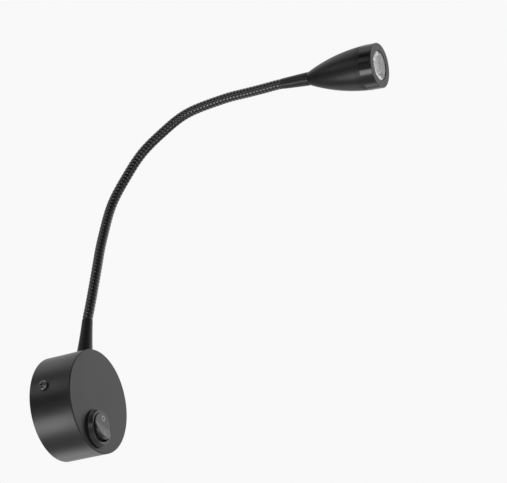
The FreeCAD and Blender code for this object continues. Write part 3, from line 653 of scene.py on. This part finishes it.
# %% rocker
ROCKER_RADIUS, ROCKER_END, ROCKER_DISH, ROCKER_SKIRT, ROCKER_TILT = 10.4, 7.1, 1.9, 3.4, 9.5
ROCKER_EDGE, DISH_HALF, VALLEY, FIRST_SHARE, FACE_ROWS, UNDER_EDGE = 0.6, 11.3, 0.035, 0.03, 32, 0.3
MARK_CENTRE, MARK_RADIUS, MARK_LINE, BAR_HALF, MARK_SOFT = 6.2, 1.7, 0.34, 1.7, 0.06
ROCKER_BLACK, MARK_GREY = (0.012, 0.012, 0.014), (0.32, 0.32, 0.34)


def rocker_height(up_from_pin):
    """Height above the panel: a trough of two long slopes that meet in a soft valley over the pin."""
    slope = np.sqrt((up_from_pin / DISH_HALF) ** 2 + VALLEY ** 2) - VALLEY
    return ROCKER_END - ROCKER_DISH + ROCKER_DISH * slope


def rocker_mesh(name, place, pin, tilt, steps=120):
    """Rows go from the middle of the top face to its rounded rim, down the side and in below."""
    origin, across, beside, axis = place
    turn = 2 * np.pi * np.arange(steps) / steps
    face = np.linspace(FIRST_SHARE, 1, FACE_ROWS)[:, None] * (ROCKER_RADIUS - ROCKER_EDGE) + 0 * turn
    corner = np.linspace(0, np.pi / 2, 6)[1:, None] + 0 * turn
    edge = ROCKER_RADIUS - ROCKER_EDGE + ROCKER_EDGE * np.sin(corner)
    side = np.full((3, steps), ROCKER_RADIUS)
    radius = np.vstack([face, edge, side])
    up_from_pin = radius * np.sin(turn)
    drop = np.vstack([0 * face, ROCKER_EDGE * (1 - np.cos(corner)), 0 * side])
    height = rocker_height(up_from_pin) - drop
    height[-3] = height[-4] - UNDER_EDGE
    height[-2] = -ROCKER_SKIRT * 0.5
    height[-1] = -ROCKER_SKIRT
    local = np.stack([radius * np.cos(turn), up_from_pin, height], axis=-1)
    poles = np.array([[0, 0, rocker_height(0.0)], [0, 0, -ROCKER_SKIRT]])
    lean = np.radians(tilt)
    swing = np.array([[1, 0, 0], [0, np.cos(lean), -np.sin(lean)], [0, np.sin(lean), np.cos(lean)]])
    pin_point = np.array([0, 0, -pin])
    basis = np.stack([across, beside, axis])

    def placed(points):
        return origin + ((points - pin_point) @ swing.T + pin_point) @ basis * MM

    grid = placed(local)
    return skin(name, grid, lengths_along(grid[:, 0]), *placed(poles), sharp_angle=50.0)


rock = next(joint for joint in frame["joints"] if joint["name"] == "switch_rock")
pin_depth = (rock["pos_m"][1] + BASE_DEPTH * MM) / MM
upright_place = (panel_point, np.array([1.0, 0, 0]), np.array([0, 0, 1.0]), np.array([0, -1.0, 0]))
rocker = rocker_mesh("switch_rocker_cap", upright_place, pin_depth, -ROCKER_TILT)


def within(paint, distance, reach):
    """1 where a distance is less than a reach in millimetres, with a soft edge."""
    return paint.step(distance, (reach + MARK_SOFT) * MM, (reach - MARK_SOFT) * MM)


@finish("rocker_plastic", ROCKER_BLACK, 0.30, Specular_IOR_Level=0.33)
def rocker_plastic(paint):
    """Moulded black plastic, with a printed ring on the end for off and a bar on the other."""
    centred = paint.node("ShaderNodeMapping", {"vector_type": "TEXTURE"}, paint.object_point(),
                         tuple(panel_point), (math.radians(-ROCKER_TILT), 0.0, 0.0), out="Vector")
    x, y, z = (paint.part_of(centred, spot) for spot in range(3))
    front = paint.step(y, 0.0, -1.0 * MM)
    ring_distance = (x ** 2.0 + (z - MARK_CENTRE * MM) ** 2.0) ** 0.5
    ring = within(paint, abs(ring_distance - MARK_RADIUS * MM), MARK_LINE)
    bar = within(paint, abs(x), MARK_LINE) * within(paint, abs(z + MARK_CENTRE * MM), BAR_HALF)
    mark = (ring + bar) * front
    cloud = paint.noise(paint.object_point(), 60.0, 3.0)
    return {
        "Base_Color": paint.blend(mark, ROCKER_BLACK, MARK_GREY),
        "Roughness": 0.27 + cloud * 0.10 + mark * 0.15,
        "Normal": paint.bumps(paint.noise(paint.object_point(), 3800.0, 3.0), 0.003 * MM),
    }


dress(rocker, rocker_plastic, "rocker", "black_gloss_plastic", "switch_rocker")

# %% [markdown]
# ## Where the neck stands on the base
# The neck is clamped through the round side of the base. A thin saddle washer follows that side
# below and is flat above, and on it stands a slender ferrule that narrows towards the neck. The
# washer's lower face is the cylinder of the base itself: its height is the root of the base's
# radius squared less the sideways distance squared.

# %% saddle washer and lower ferrule
SADDLE_RADIUS, SADDLE_TOP, SADDLE_ROUND, SADDLE_EDGE = 6.9, 0.9, 0.3, 0.08
neck_root = np.array([0, -NECK_SETOUT, BASE_RADIUS]) * MM
root_place = axis_place(neck_root, (0, 0, 1))


def saddle_mesh(name, place, steps=128):
    """Rows go out under the washer along the base's side, up its rounded edge and in over its flat top."""
    corner = np.linspace(0, np.pi / 2, 5)
    radius = np.concatenate([[NIPPLE_RADIUS, SADDLE_RADIUS - SADDLE_EDGE, SADDLE_RADIUS],
                             SADDLE_RADIUS - SADDLE_ROUND + SADDLE_ROUND * np.cos(corner), [NIPPLE_RADIUS]])
    sideways = radius[:, None] * spokes(place, steps)[1][:, 0]
    drum = np.sqrt(BASE_RADIUS ** 2 - sideways ** 2) - BASE_RADIUS
    height = np.zeros_like(drum)
    height[:2], height[2] = drum[:2], drum[2] + SADDLE_EDGE
    height[3:8] = (SADDLE_TOP - SADDLE_ROUND + SADDLE_ROUND * np.sin(corner))[:, None]
    height[8] = SADDLE_TOP
    return round_skin(name, place, radius[:, None], height)


saddle = saddle_mesh("saddle_washer", root_place)
dress(saddle, black_gloss, "base", "black_gloss_metal", "outer_saddle_washer")

FERRULE_FLANGE, FERRULE_FLANGE_HEIGHT, FERRULE_WAIST, FERRULE_WAIST_HEIGHT = 6.7, 1.2, 5.0, 18.0
FERRULE_MOUTH, FERRULE_LENGTH, MOUTH_DEPTH, HOSE_CORE = 4.2, 31.7, 2.0, 3.3
NIPPLE_LENGTH, LEAD_BORE = 9.0, 2.2


def soft_taper(start, middle, end, count=14):
    """Radius against height through three points: a parabola, so that the side is one long soft curve."""
    heights = np.linspace(start[1], end[1], count)[1:-1]
    factors = np.polyfit([start[1], middle[1], end[1]], [start[0], middle[0], end[0]], 2)
    return [(float(np.polyval(factors, level)), float(level)) for level in heights]


flare_start = (FERRULE_FLANGE - 0.35, SADDLE_TOP + FERRULE_FLANGE_HEIGHT + 0.25)
mouth_height = SADDLE_TOP + FERRULE_LENGTH
turned("neck_foot", [
    (0, -NIPPLE_LENGTH + 0.5),
    (LEAD_BORE, -NIPPLE_LENGTH + 0.5),
    (LEAD_BORE, -NIPPLE_LENGTH),
    (NIPPLE_RADIUS, -NIPPLE_LENGTH, 0.4),
    (NIPPLE_RADIUS, SADDLE_TOP),
    (FERRULE_FLANGE, SADDLE_TOP, 0.15),
    (FERRULE_FLANGE, SADDLE_TOP + FERRULE_FLANGE_HEIGHT, 0.4),
    flare_start,
    *soft_taper(flare_start, (FERRULE_WAIST, FERRULE_WAIST_HEIGHT), (FERRULE_MOUTH, mouth_height - 0.4)),
    (FERRULE_MOUTH, mouth_height, 0.25),
    (HOSE_CORE, mouth_height, 0.1),
    (HOSE_CORE, mouth_height - MOUTH_DEPTH),
    (0, mouth_height - MOUTH_DEPTH),
], root_place, 128, black_gloss, "base", "black_gloss_metal", "lower_ferrule")

# %% [markdown]
# ## The bendable neck
# A bendable neck is a coil of round wire with a three-sided wire pressed between its turns, and the
# friction between the two holds any shape. From outside it is a helix of round ridges. The
# construction model bends it at nineteen junctions, so the coil is nineteen pieces, each from the
# middle of one link to the middle of the next. They share one helix, so at rest they read as a
# single hose. The centre line is a cubic curve through the middles of the straight runs, along each
# run's own direction.

# %% neck centre line
neck_joints = [joint for joint in frame["joints"] if joint["name"].startswith("neck_")]
pivots = np.array([joint["pos_m"] for joint in neck_joints])
ring_low, ring_high = (np.array(corner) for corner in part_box("neck_ring"))
ring_centre = 0.5 * (ring_low + ring_high)
head_axis = (ring_centre - pivots[-1]) / np.linalg.norm(ring_centre - pivots[-1])
mouth = neck_root + np.array([0, 0, mouth_height]) * MM
COLLAR_GAP = 0.8
collar_mouth = pivots[-1] + head_axis * COLLAR_GAP * MM


def neck_knots():
    """Places and directions that the centre line passes: the mouth, the middle of each run, the collar."""
    sideways = [number for number, joint in enumerate(neck_joints) if "side" in joint["name"]]
    starts = [spot for spot in range(len(pivots)) if spot not in sideways]
    places, directions = [mouth], [np.array([0, 0, 1.0])]
    for first, after in zip(starts[:-1], starts[1:]):
        run = pivots[after] - pivots[first]
        places.append(0.5 * (pivots[first] + pivots[after]))
        directions.append(run / np.linalg.norm(run))
    return np.array(places + [collar_mouth]), np.array(directions + [head_axis])


def hermite(places, directions, count=60):
    """Each stretch is a cubic with its ends' directions, as long as the gap between them."""
    share = np.linspace(0, 1, count, endpoint=False)[:, None]
    square, cube = share ** 2, share ** 3
    stretches = []
    for here, there, leave, arrive in zip(places[:-1], places[1:], directions[:-1], directions[1:]):
        gap = np.linalg.norm(there - here)
        stretches.append((2 * cube - 3 * square + 1) * here + (cube - 2 * square + share) * leave * gap
                         + (3 * square - 2 * cube) * there + (cube - square) * arrive * gap)
    return np.vstack(stretches + [places[-1:]])


line = hermite(*neck_knots())
line_length = lengths_along(line)
forward_rate, upward_rate = (np.gradient(line[:, spot], line_length) for spot in (1, 2))
line_heading = np.unwrap(np.arctan2(-forward_rate, upward_rate))
HOSE_LENGTH = line_length[-1]
print(f"neck length {HOSE_LENGTH / MM:.1f} mm; it turns {math.degrees(line_heading[-1]):.1f} degrees")

# %% neck pieces
TURN_PITCH, CROWN_RADIUS, GROOVE_DEPTH, WIRE_ROUND = 3.03, 4.05, 0.30, 0.85
ROWS_PER_TURN, HOSE_STEPS, MOUTH_OVERLAP = 12, 44, 1.6


def on_line(length):
    """Place and heading at lengths along the centre line, which runs straight on past both ends."""
    inside = np.clip(length, 0, HOSE_LENGTH)
    heading = np.interp(inside, line_length, line_heading)
    forward = np.stack([0 * heading, -np.sin(heading), np.cos(heading)], axis=-1)
    place = np.stack([np.interp(inside, line_length, line[:, spot]) for spot in range(3)], axis=-1)
    return place + forward * (length - inside)[:, None], heading, forward


def ridge(length, turn):
    """0 in a groove and 1 on a crown: the arc of a round wire, carried round as a helix."""
    phase = np.mod(length / (TURN_PITCH * MM) - turn / (2 * np.pi), 1.0)
    arc = np.sqrt(1 - WIRE_ROUND * (2 * phase - 1) ** 2)
    flat = math.sqrt(1 - WIRE_ROUND)
    return (arc - flat) / (1 - flat)


def nearest_length(point):
    return line_length[np.argmin(np.linalg.norm(line - point, axis=1))]


def hose_piece(name, start, end):
    """point = centre + radius x (cos turn x sideways + sin turn x outward). Ridges change the radius."""
    rows = max(4, int(round((end - start) / MM / TURN_PITCH * ROWS_PER_TURN)))
    length = np.linspace(start, end, rows + 1)
    turn = 2 * np.pi * np.arange(HOSE_STEPS) / HOSE_STEPS
    centre, heading, forward = on_line(length)
    outward = np.stack([0 * heading, np.cos(heading), np.sin(heading)], axis=-1)
    height = ridge(length[:, None], turn)
    radius = (CROWN_RADIUS - GROOVE_DEPTH * (1 - height)) * MM
    sideways = np.array([1.0, 0, 0])
    spoke = np.cos(turn)[:, None] * sideways + np.sin(turn)[:, None] * outward[:, None, :]
    grid = centre[:, None, :] + radius[..., None] * spoke
    piece = skin(name, grid, length, centre[0], centre[-1], sharp_angle=60.0)
    layer = piece.data.uv_layers.new(name="Ridge")
    corner_vertex = np.zeros(len(piece.data.loops), dtype=np.int32)
    piece.data.loops.foreach_get("vertex_index", corner_vertex)
    level = np.append(height.ravel(), [0.5, 0.5])[corner_vertex]
    layer.data.foreach_set("uv", np.stack([level, 0 * level], -1).astype(np.float32).ravel())
    return piece


links = [joint["child"] for joint in neck_joints[:-1]]
middles = 0.5 * (pivots[:-1] + pivots[1:])
bounds_along = [-MOUTH_OVERLAP * MM] + [nearest_length(point) for point in middles]
bounds_along.append(HOSE_LENGTH + MOUTH_OVERLAP * MM)
bend_marks = [mouth - np.array([0, 0, MOUTH_OVERLAP]) * MM, *middles,
              collar_mouth + head_axis * MOUTH_OVERLAP * MM]
bodies_along = ["base"] + links + ["head"]
for number, joint in enumerate(neck_joints):
    piece = hose_piece(f"neck_coil_{number + 1:02d}", bounds_along[number], bounds_along[number + 1])
    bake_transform(piece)
    stands_for = [f"neck_link_{number + 1:02d}"] if number < len(links) else []
    dress(piece, neck_metal, None, "neck_metal", *stands_for)

# %% [markdown]
# ## The head
# The head is one turned shell like the nose of a bullet. A collar brings the neck into its narrow
# end, with a thin bright washer between them, and a separate ring screws on in front and holds the
# lens. The shell's side is an arc of a circle that leaves the neck steeply and runs parallel to
# the axis at the front, where three fine grooves are cut round it.

# %% head collar and washer
COLLAR_START, COLLAR_END, COLLAR_LENGTH, RING_SHEET, RING_RADIUS = 4.15, 5.35, 24.0, 0.5, 5.0
HEAD_NIPPLE_RADIUS, HEAD_NIPPLE_LENGTH, COLLAR_MOUTH_DEPTH = 3.9, 12.2, 2.2
collar_place = axis_place(pivots[-1], head_axis)
collar_curve = soft_taper((COLLAR_START, COLLAR_GAP), (4.9, 14.0), (COLLAR_END, COLLAR_LENGTH - 0.6), 10)
turned("head_collar", [
    (0, COLLAR_GAP + COLLAR_MOUTH_DEPTH),
    (HOSE_CORE, COLLAR_GAP + COLLAR_MOUTH_DEPTH),
    (HOSE_CORE, COLLAR_GAP, 0.1),
    (COLLAR_START, COLLAR_GAP, 0.2),
    *collar_curve,
    (COLLAR_END, COLLAR_LENGTH, 0.3),
    (HEAD_NIPPLE_RADIUS, COLLAR_LENGTH),
    (HEAD_NIPPLE_RADIUS, COLLAR_LENGTH + HEAD_NIPPLE_LENGTH, 0.3),
    (LEAD_BORE, COLLAR_LENGTH + HEAD_NIPPLE_LENGTH),
    (LEAD_BORE, COLLAR_LENGTH + HEAD_NIPPLE_LENGTH - 2),
    (0, COLLAR_LENGTH + HEAD_NIPPLE_LENGTH - 2),
], collar_place, 128, black_gloss, "head", "black_gloss_metal", "upper_ferrule")

turned("head_washer", [
    (HEAD_NIPPLE_RADIUS, COLLAR_LENGTH),
    (RING_RADIUS, COLLAR_LENGTH, 0.12),
    (RING_RADIUS, COLLAR_LENGTH + RING_SHEET, 0.12),
    (HEAD_NIPPLE_RADIUS, COLLAR_LENGTH + RING_SHEET),
], collar_place, 96, bright_ring, "head", "bright_ring", "neck_ring")

# %% head shell
front_low, front_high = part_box("front_ring")
HEAD_RADIUS = 0.5 * (front_high[0] - front_low[0]) / MM
HEAD_NECK_RADIUS, HEAD_LENGTH, HEAD_CURVE_END, FRONT_RING_LENGTH = 5.0, 61.0, 58.0, 10.6
HEAD_WALL, HEAD_FLOOR, HEAD_STEP, HEAD_SEAT, HEAD_BORE = 1.3, 8.5, 20.0, 38.0, 14.6
SPIGOT_RADIUS, SPIGOT_LENGTH = 16.1, 5.6
GROOVES, GROOVE_WIDTH, GROOVE_SINK, GROOVE_STEP, GROOVE_FIRST = 3, 0.34, 0.14, 1.15, 1.3
GROOVE_SHAPE, SIDE_START, SIDE_ROWS = ((-0.5, 0), (-0.32, 1), (0.32, 1), (0.5, 0)), 0.5, 30
NIPPLE_GAP = 0.05
narrowing = HEAD_RADIUS - HEAD_NECK_RADIUS
CURVE_RADIUS = (HEAD_CURVE_END ** 2 + narrowing ** 2) / (2 * narrowing)
shoulder = HEAD_LENGTH - FRONT_RING_LENGTH
neck_plane = pivots[-1] + head_axis * (COLLAR_LENGTH + RING_SHEET) * MM
head_place = axis_place(neck_plane, head_axis)


def bullet_radius(level):
    """The head's radius at a level from the neck: an arc that ends parallel to the axis."""
    return HEAD_RADIUS - CURVE_RADIUS + np.sqrt(CURVE_RADIUS ** 2 - (HEAD_CURVE_END - level) ** 2)


def grooved_side():
    """The arc from neck to shoulder, with a narrow flat-bottomed groove cut in at each groove's level."""
    levels = np.linspace(SIDE_START, shoulder - GROOVE_FIRST - GROOVES * GROOVE_STEP, SIDE_ROWS)
    side = [(float(bullet_radius(level)), float(level)) for level in levels]
    for number in reversed(range(GROOVES)):
        middle = shoulder - GROOVE_FIRST - number * GROOVE_STEP
        for offset, sink in GROOVE_SHAPE:
            level = middle + offset * GROOVE_WIDTH
            side.append((float(bullet_radius(level)) - sink * GROOVE_SINK, float(level)))
    return side


turned("head_shell", [
    (HEAD_NIPPLE_RADIUS + NIPPLE_GAP, 0),
    (HEAD_NECK_RADIUS, 0, 0.15),
    *grooved_side(),
    (float(bullet_radius(shoulder)), shoulder, 0.15),
    (SPIGOT_RADIUS, shoulder),
    (SPIGOT_RADIUS, shoulder + SPIGOT_LENGTH, 0.2),
    (HEAD_BORE, shoulder + SPIGOT_LENGTH),
    (HEAD_BORE, HEAD_SEAT),
    (float(bullet_radius(HEAD_STEP)) - HEAD_WALL, HEAD_SEAT),
    (float(bullet_radius(HEAD_STEP)) - HEAD_WALL, HEAD_STEP),
    (float(bullet_radius(HEAD_FLOOR)) - HEAD_WALL, HEAD_STEP),
    (float(bullet_radius(HEAD_FLOOR)) - HEAD_WALL, HEAD_FLOOR),
    (HEAD_NIPPLE_RADIUS + NIPPLE_GAP, HEAD_FLOOR),
], head_place, 192, black_gloss, "head", "black_gloss_metal", "head_housing")

# %% front ring
RING_LIP, LENS_OPENING, RING_EDGE, LENS_FLANGE, RING_GAP = 1.6, 11.6, 0.35, 12.9, 0.06
turned("head_front_ring", [
    (SPIGOT_RADIUS, shoulder + RING_GAP),
    (HEAD_RADIUS, shoulder + RING_GAP, 0.12),
    (HEAD_RADIUS, HEAD_LENGTH, RING_EDGE),
    (LENS_OPENING, HEAD_LENGTH, 0.3),
    (LENS_OPENING, HEAD_LENGTH - RING_LIP, 0.1),
    (SPIGOT_RADIUS, HEAD_LENGTH - RING_LIP),
], head_place, 192, black_ring, "head", "black_gloss_metal", "front_ring")

# %% [markdown]
# ## The lens
# The lens is a solid cone of clear acrylic. Light from the LED enters the pocket at its small end,
# bounces off the cone's side and leaves through the flat front. From outside one sees that side as
# bright and dark patches. It is a cone with a gentle curve whose radius also carries shallow flats
# round the axis, and its front has rings of small pillows that spread the beam.

# %% lens
BOARD_TOP, LENS_LIFT, POCKET_RADIUS, POCKET_DEPTH, LENS_REAR = 44.6, 1.6, 2.9, 3.0, 4.4
GASKET, FLANGE_SHEET, HOLDER_INSIDE, LENS_SETBACK = 0.4, 1.5, 11.7, 0.45
FLATS, FLAT_DEPTH, PILLOWS, PILLOW_RINGS, PILLOW_HEIGHT, PILLOW_START = 12, 0.022, 24, 7, 0.16, (0.4, 2.0)
POCKET_EDGE, CONE_POWER, CONE_ROWS, SHELF_GAP, FACE_EDGE = 0.3, 0.72, 18, 0.2, 0.3
FACE_OUTSIDE, FACE_INSIDE, LENS_FACE_ROWS = 0.5, 0.25, 40


def lens_mesh(name, place, steps=240):
    """Rows go from the bottom of the pocket down the cone's side, round the flange and in over the front."""
    turn = spokes(place, steps)[0]
    rear = BOARD_TOP + LENS_LIFT
    flange = HEAD_LENGTH - RING_LIP - GASKET - FLANGE_SHEET
    shelf, front = flange + FLANGE_SHEET, HEAD_LENGTH - LENS_SETBACK
    share = np.linspace(0, 1, CONE_ROWS)
    cone_radius = LENS_REAR + (HOLDER_INSIDE - LENS_REAR) * share ** CONE_POWER
    cone_height = rear + (flange - rear) * share
    face_radius = np.linspace(LENS_OPENING - FACE_OUTSIDE, FACE_INSIDE, LENS_FACE_ROWS)
    shelf_radius = LENS_OPENING - SHELF_GAP
    radius = np.concatenate([[POCKET_RADIUS - POCKET_EDGE, POCKET_RADIUS, POCKET_RADIUS], cone_radius,
                             [LENS_FLANGE, LENS_FLANGE, shelf_radius, shelf_radius], face_radius])
    height = np.concatenate([[rear + POCKET_DEPTH, rear + POCKET_DEPTH - POCKET_EDGE, rear], cone_height,
                             [flange, shelf, shelf, front - FACE_EDGE], 0 * face_radius + front])
    radius, height = radius[:, None] + 0 * turn, height[:, None] + 0 * turn
    radius[4:2 + CONE_ROWS] *= 1 - FLAT_DEPTH * np.abs(np.sin(FLATS * turn / 2))
    spread = radius[-LENS_FACE_ROWS:]
    count = np.where(spread > 0.5 * LENS_OPENING, PILLOWS, 0.5 * PILLOWS)
    waves = np.cos(count * turn) * np.cos(spread / LENS_OPENING * PILLOW_RINGS * np.pi)
    height[-LENS_FACE_ROWS:] -= PILLOW_HEIGHT * (0.5 + 0.5 * waves) * smooth(spread, *PILLOW_START)
    poles = rear + POCKET_DEPTH, front - PILLOW_HEIGHT * 0.5
    return round_skin(name, place, radius, height, poles, sharp_angle=35.0)


lens = lens_mesh("head_lens", head_place)
dress(lens, clear_lens, "head", "clear_lens", "lens")

# %% [markdown]
# ## Parts that keep their shape
# Fasteners, the wall bracket and what sits inside need no new shape. Each one's material slot in the
# record says what it is made of, so one loop gives every remaining node the finish of its slot.

# %% construction nodes
SLOT_FINISH = dict(
    black_satin_metal=black_satin, black_gloss_metal=black_gloss, neck_metal=neck_metal,
    zinc_steel=zinc_steel, bright_ring=bright_ring, raw_aluminium=raw_aluminium, brass_plain=brass,
    black_rubber=black_rubber, grey_foam=grey_foam, white_plastic=white_plastic,
    natural_nylon=natural_nylon, black_plastic=black_plastic, black_gloss_plastic=black_plastic,
    white_board=white_board, led_phosphor=led_phosphor, clear_lens=clear_lens,
)
for name, obj in frame["nodes"].items():
    slots = [held.material.name for held in obj.material_slots if held.material]
    wanted = next((slot for slot in SLOT_FINISH if any(slot in held for held in slots)), None)
    if wanted is None:
        print("no slot for", name, slots)
        continue
    for held in obj.material_slots:
        held.material = SLOT_FINISH[wanted]

# %% [markdown]
# ## Studio
# The photograph is a cut-out on white: soft light from everywhere, and seven soft boxes. The one at
# the lower left draws the broad highlight on the side of the base. The world is white where the camera
# looks at it, and weaker as a source of light, so that black lacquer keeps its depth. Reflections see
# it white too, but for two dark gaps. The floor is far below, as a wall lamp doesn't stand on it.

# %% world
BACKGROUND, SKY_LIGHT, GAP_LIGHT = 0.945, 0.55, 0.03
GAPS = (((-0.734, 0.531, -0.4225), 0.20, 0.65), ((-0.88, -0.47, 0.0), 0.35, 0.85))
world = bpy.data.worlds.new("studio")
bpy.context.scene.world = world
world.use_nodes = True
sky = Paint(world.node_tree)


def ray_is(kind):
    return sky.node("ShaderNodeLightPath", out=kind)


def larger(first, second):
    return sky.node("ShaderNodeMath", {"operation": "MAXIMUM"}, first, second)


seen = larger(ray_is("Is Camera Ray"), ray_is("Is Transmission Ray"))
towards = sky.node("ShaderNodeTexCoord", out="Generated")
mirrored = BACKGROUND
for direction, edge, core in GAPS:
    product = {"operation": "DOT_PRODUCT"}
    closeness = sky.node("ShaderNodeVectorMath", product, towards, direction, out="Value")
    mirrored = mirrored - sky.step(closeness, edge, core) * (BACKGROUND - GAP_LIGHT)
mirror = ray_is("Is Glossy Ray")
plain = seen * (BACKGROUND - SKY_LIGHT) + SKY_LIGHT
strength = plain + mirror * (1.0 - seen) * (larger(mirrored, GAP_LIGHT) - plain)
sky.node("ShaderNodeOutputWorld", None, sky.node("ShaderNodeBackground", None, (1, 1, 1, 1), strength))

# %% floor
FLOOR_DROP, FLOOR_HALF = 1.0, 6.0
corners = [(x * FLOOR_HALF, y * FLOOR_HALF, -FLOOR_DROP) for x, y in ((-1, -1), (1, -1), (1, 1), (-1, 1))]
floor_mesh = bpy.data.meshes.new("floor")
floor_mesh.from_pydata(corners, [], [(0, 1, 2, 3)])
floor = bpy.data.objects.new("floor", floor_mesh)
bpy.context.scene.collection.objects.link(floor)


@finish("pale_floor", (0.86, 0.86, 0.85), 0.6, Emission_Strength=1.0)
def pale_floor(paint):
    """A pale matt floor with hardly visible clouds, lifted towards white for the camera alone."""
    cloud = paint.noise(paint.object_point(), 3.0)
    seen_directly = paint.node("ShaderNodeLightPath", out="Is Camera Ray")
    return {
        "Base_Color": paint.blend(cloud, (0.84, 0.84, 0.835), (0.88, 0.88, 0.875)),
        "Emission_Color": paint.blend(seen_directly, (0.0, 0.0, 0.0), (0.27, 0.27, 0.27)),
    }


floor.data.materials.append(pale_floor)

# %% lamps
def soft_box(name, direction, distance, width, height, radiance, aim=(0, -0.1, 0.1)):
    """An area lamp that faces its aim. Its power is radiance x area x pi, whatever its size."""
    direction = np.asarray(direction, dtype=float) / np.linalg.norm(direction)
    data = bpy.data.lights.new(name, "AREA")
    data.shape, data.size, data.size_y = "RECTANGLE", width, height
    data.energy = radiance * width * height * math.pi
    lamp = bpy.data.objects.new(name, data)
    bpy.context.scene.collection.objects.link(lamp)
    side = np.cross([0, 0, 1.0], direction)
    side /= np.linalg.norm(side)
    pose = np.eye(4)
    spot = np.asarray(aim) + direction * distance
    pose[:3, :4] = np.column_stack([side, np.cross(direction, side), direction, spot])
    lamp.matrix_world = Matrix(pose.tolist())


soft_box("low_box", (-0.44, 0.531, -0.724), 1.2, 1.0, 0.50, 9.0, aim=(0, -0.02, 0))
soft_box("left_box", (-0.806, 0.531, 0.262), 1.3, 0.8, 0.50, 2.2)
soft_box("top_box", (-0.288, 0.4055, 0.868), 1.5, 1.2, 0.8, 0.5)
soft_box("side_box", (-0.98, -0.16, -0.04), 1.3, 0.36, 0.36, 8.0, aim=(0, -0.04, -0.02))
soft_box("under_box", (-0.154, -0.621, -0.768), 1.3, 0.34, 0.30, 13.0)
soft_box("front_box", (0.734, -0.531, 0.4225), 1.5, 1.2, 1.2, 1.05)
soft_box("right_box", (0.70, 0.50, -0.50), 1.5, 0.7, 0.7, 1.8)
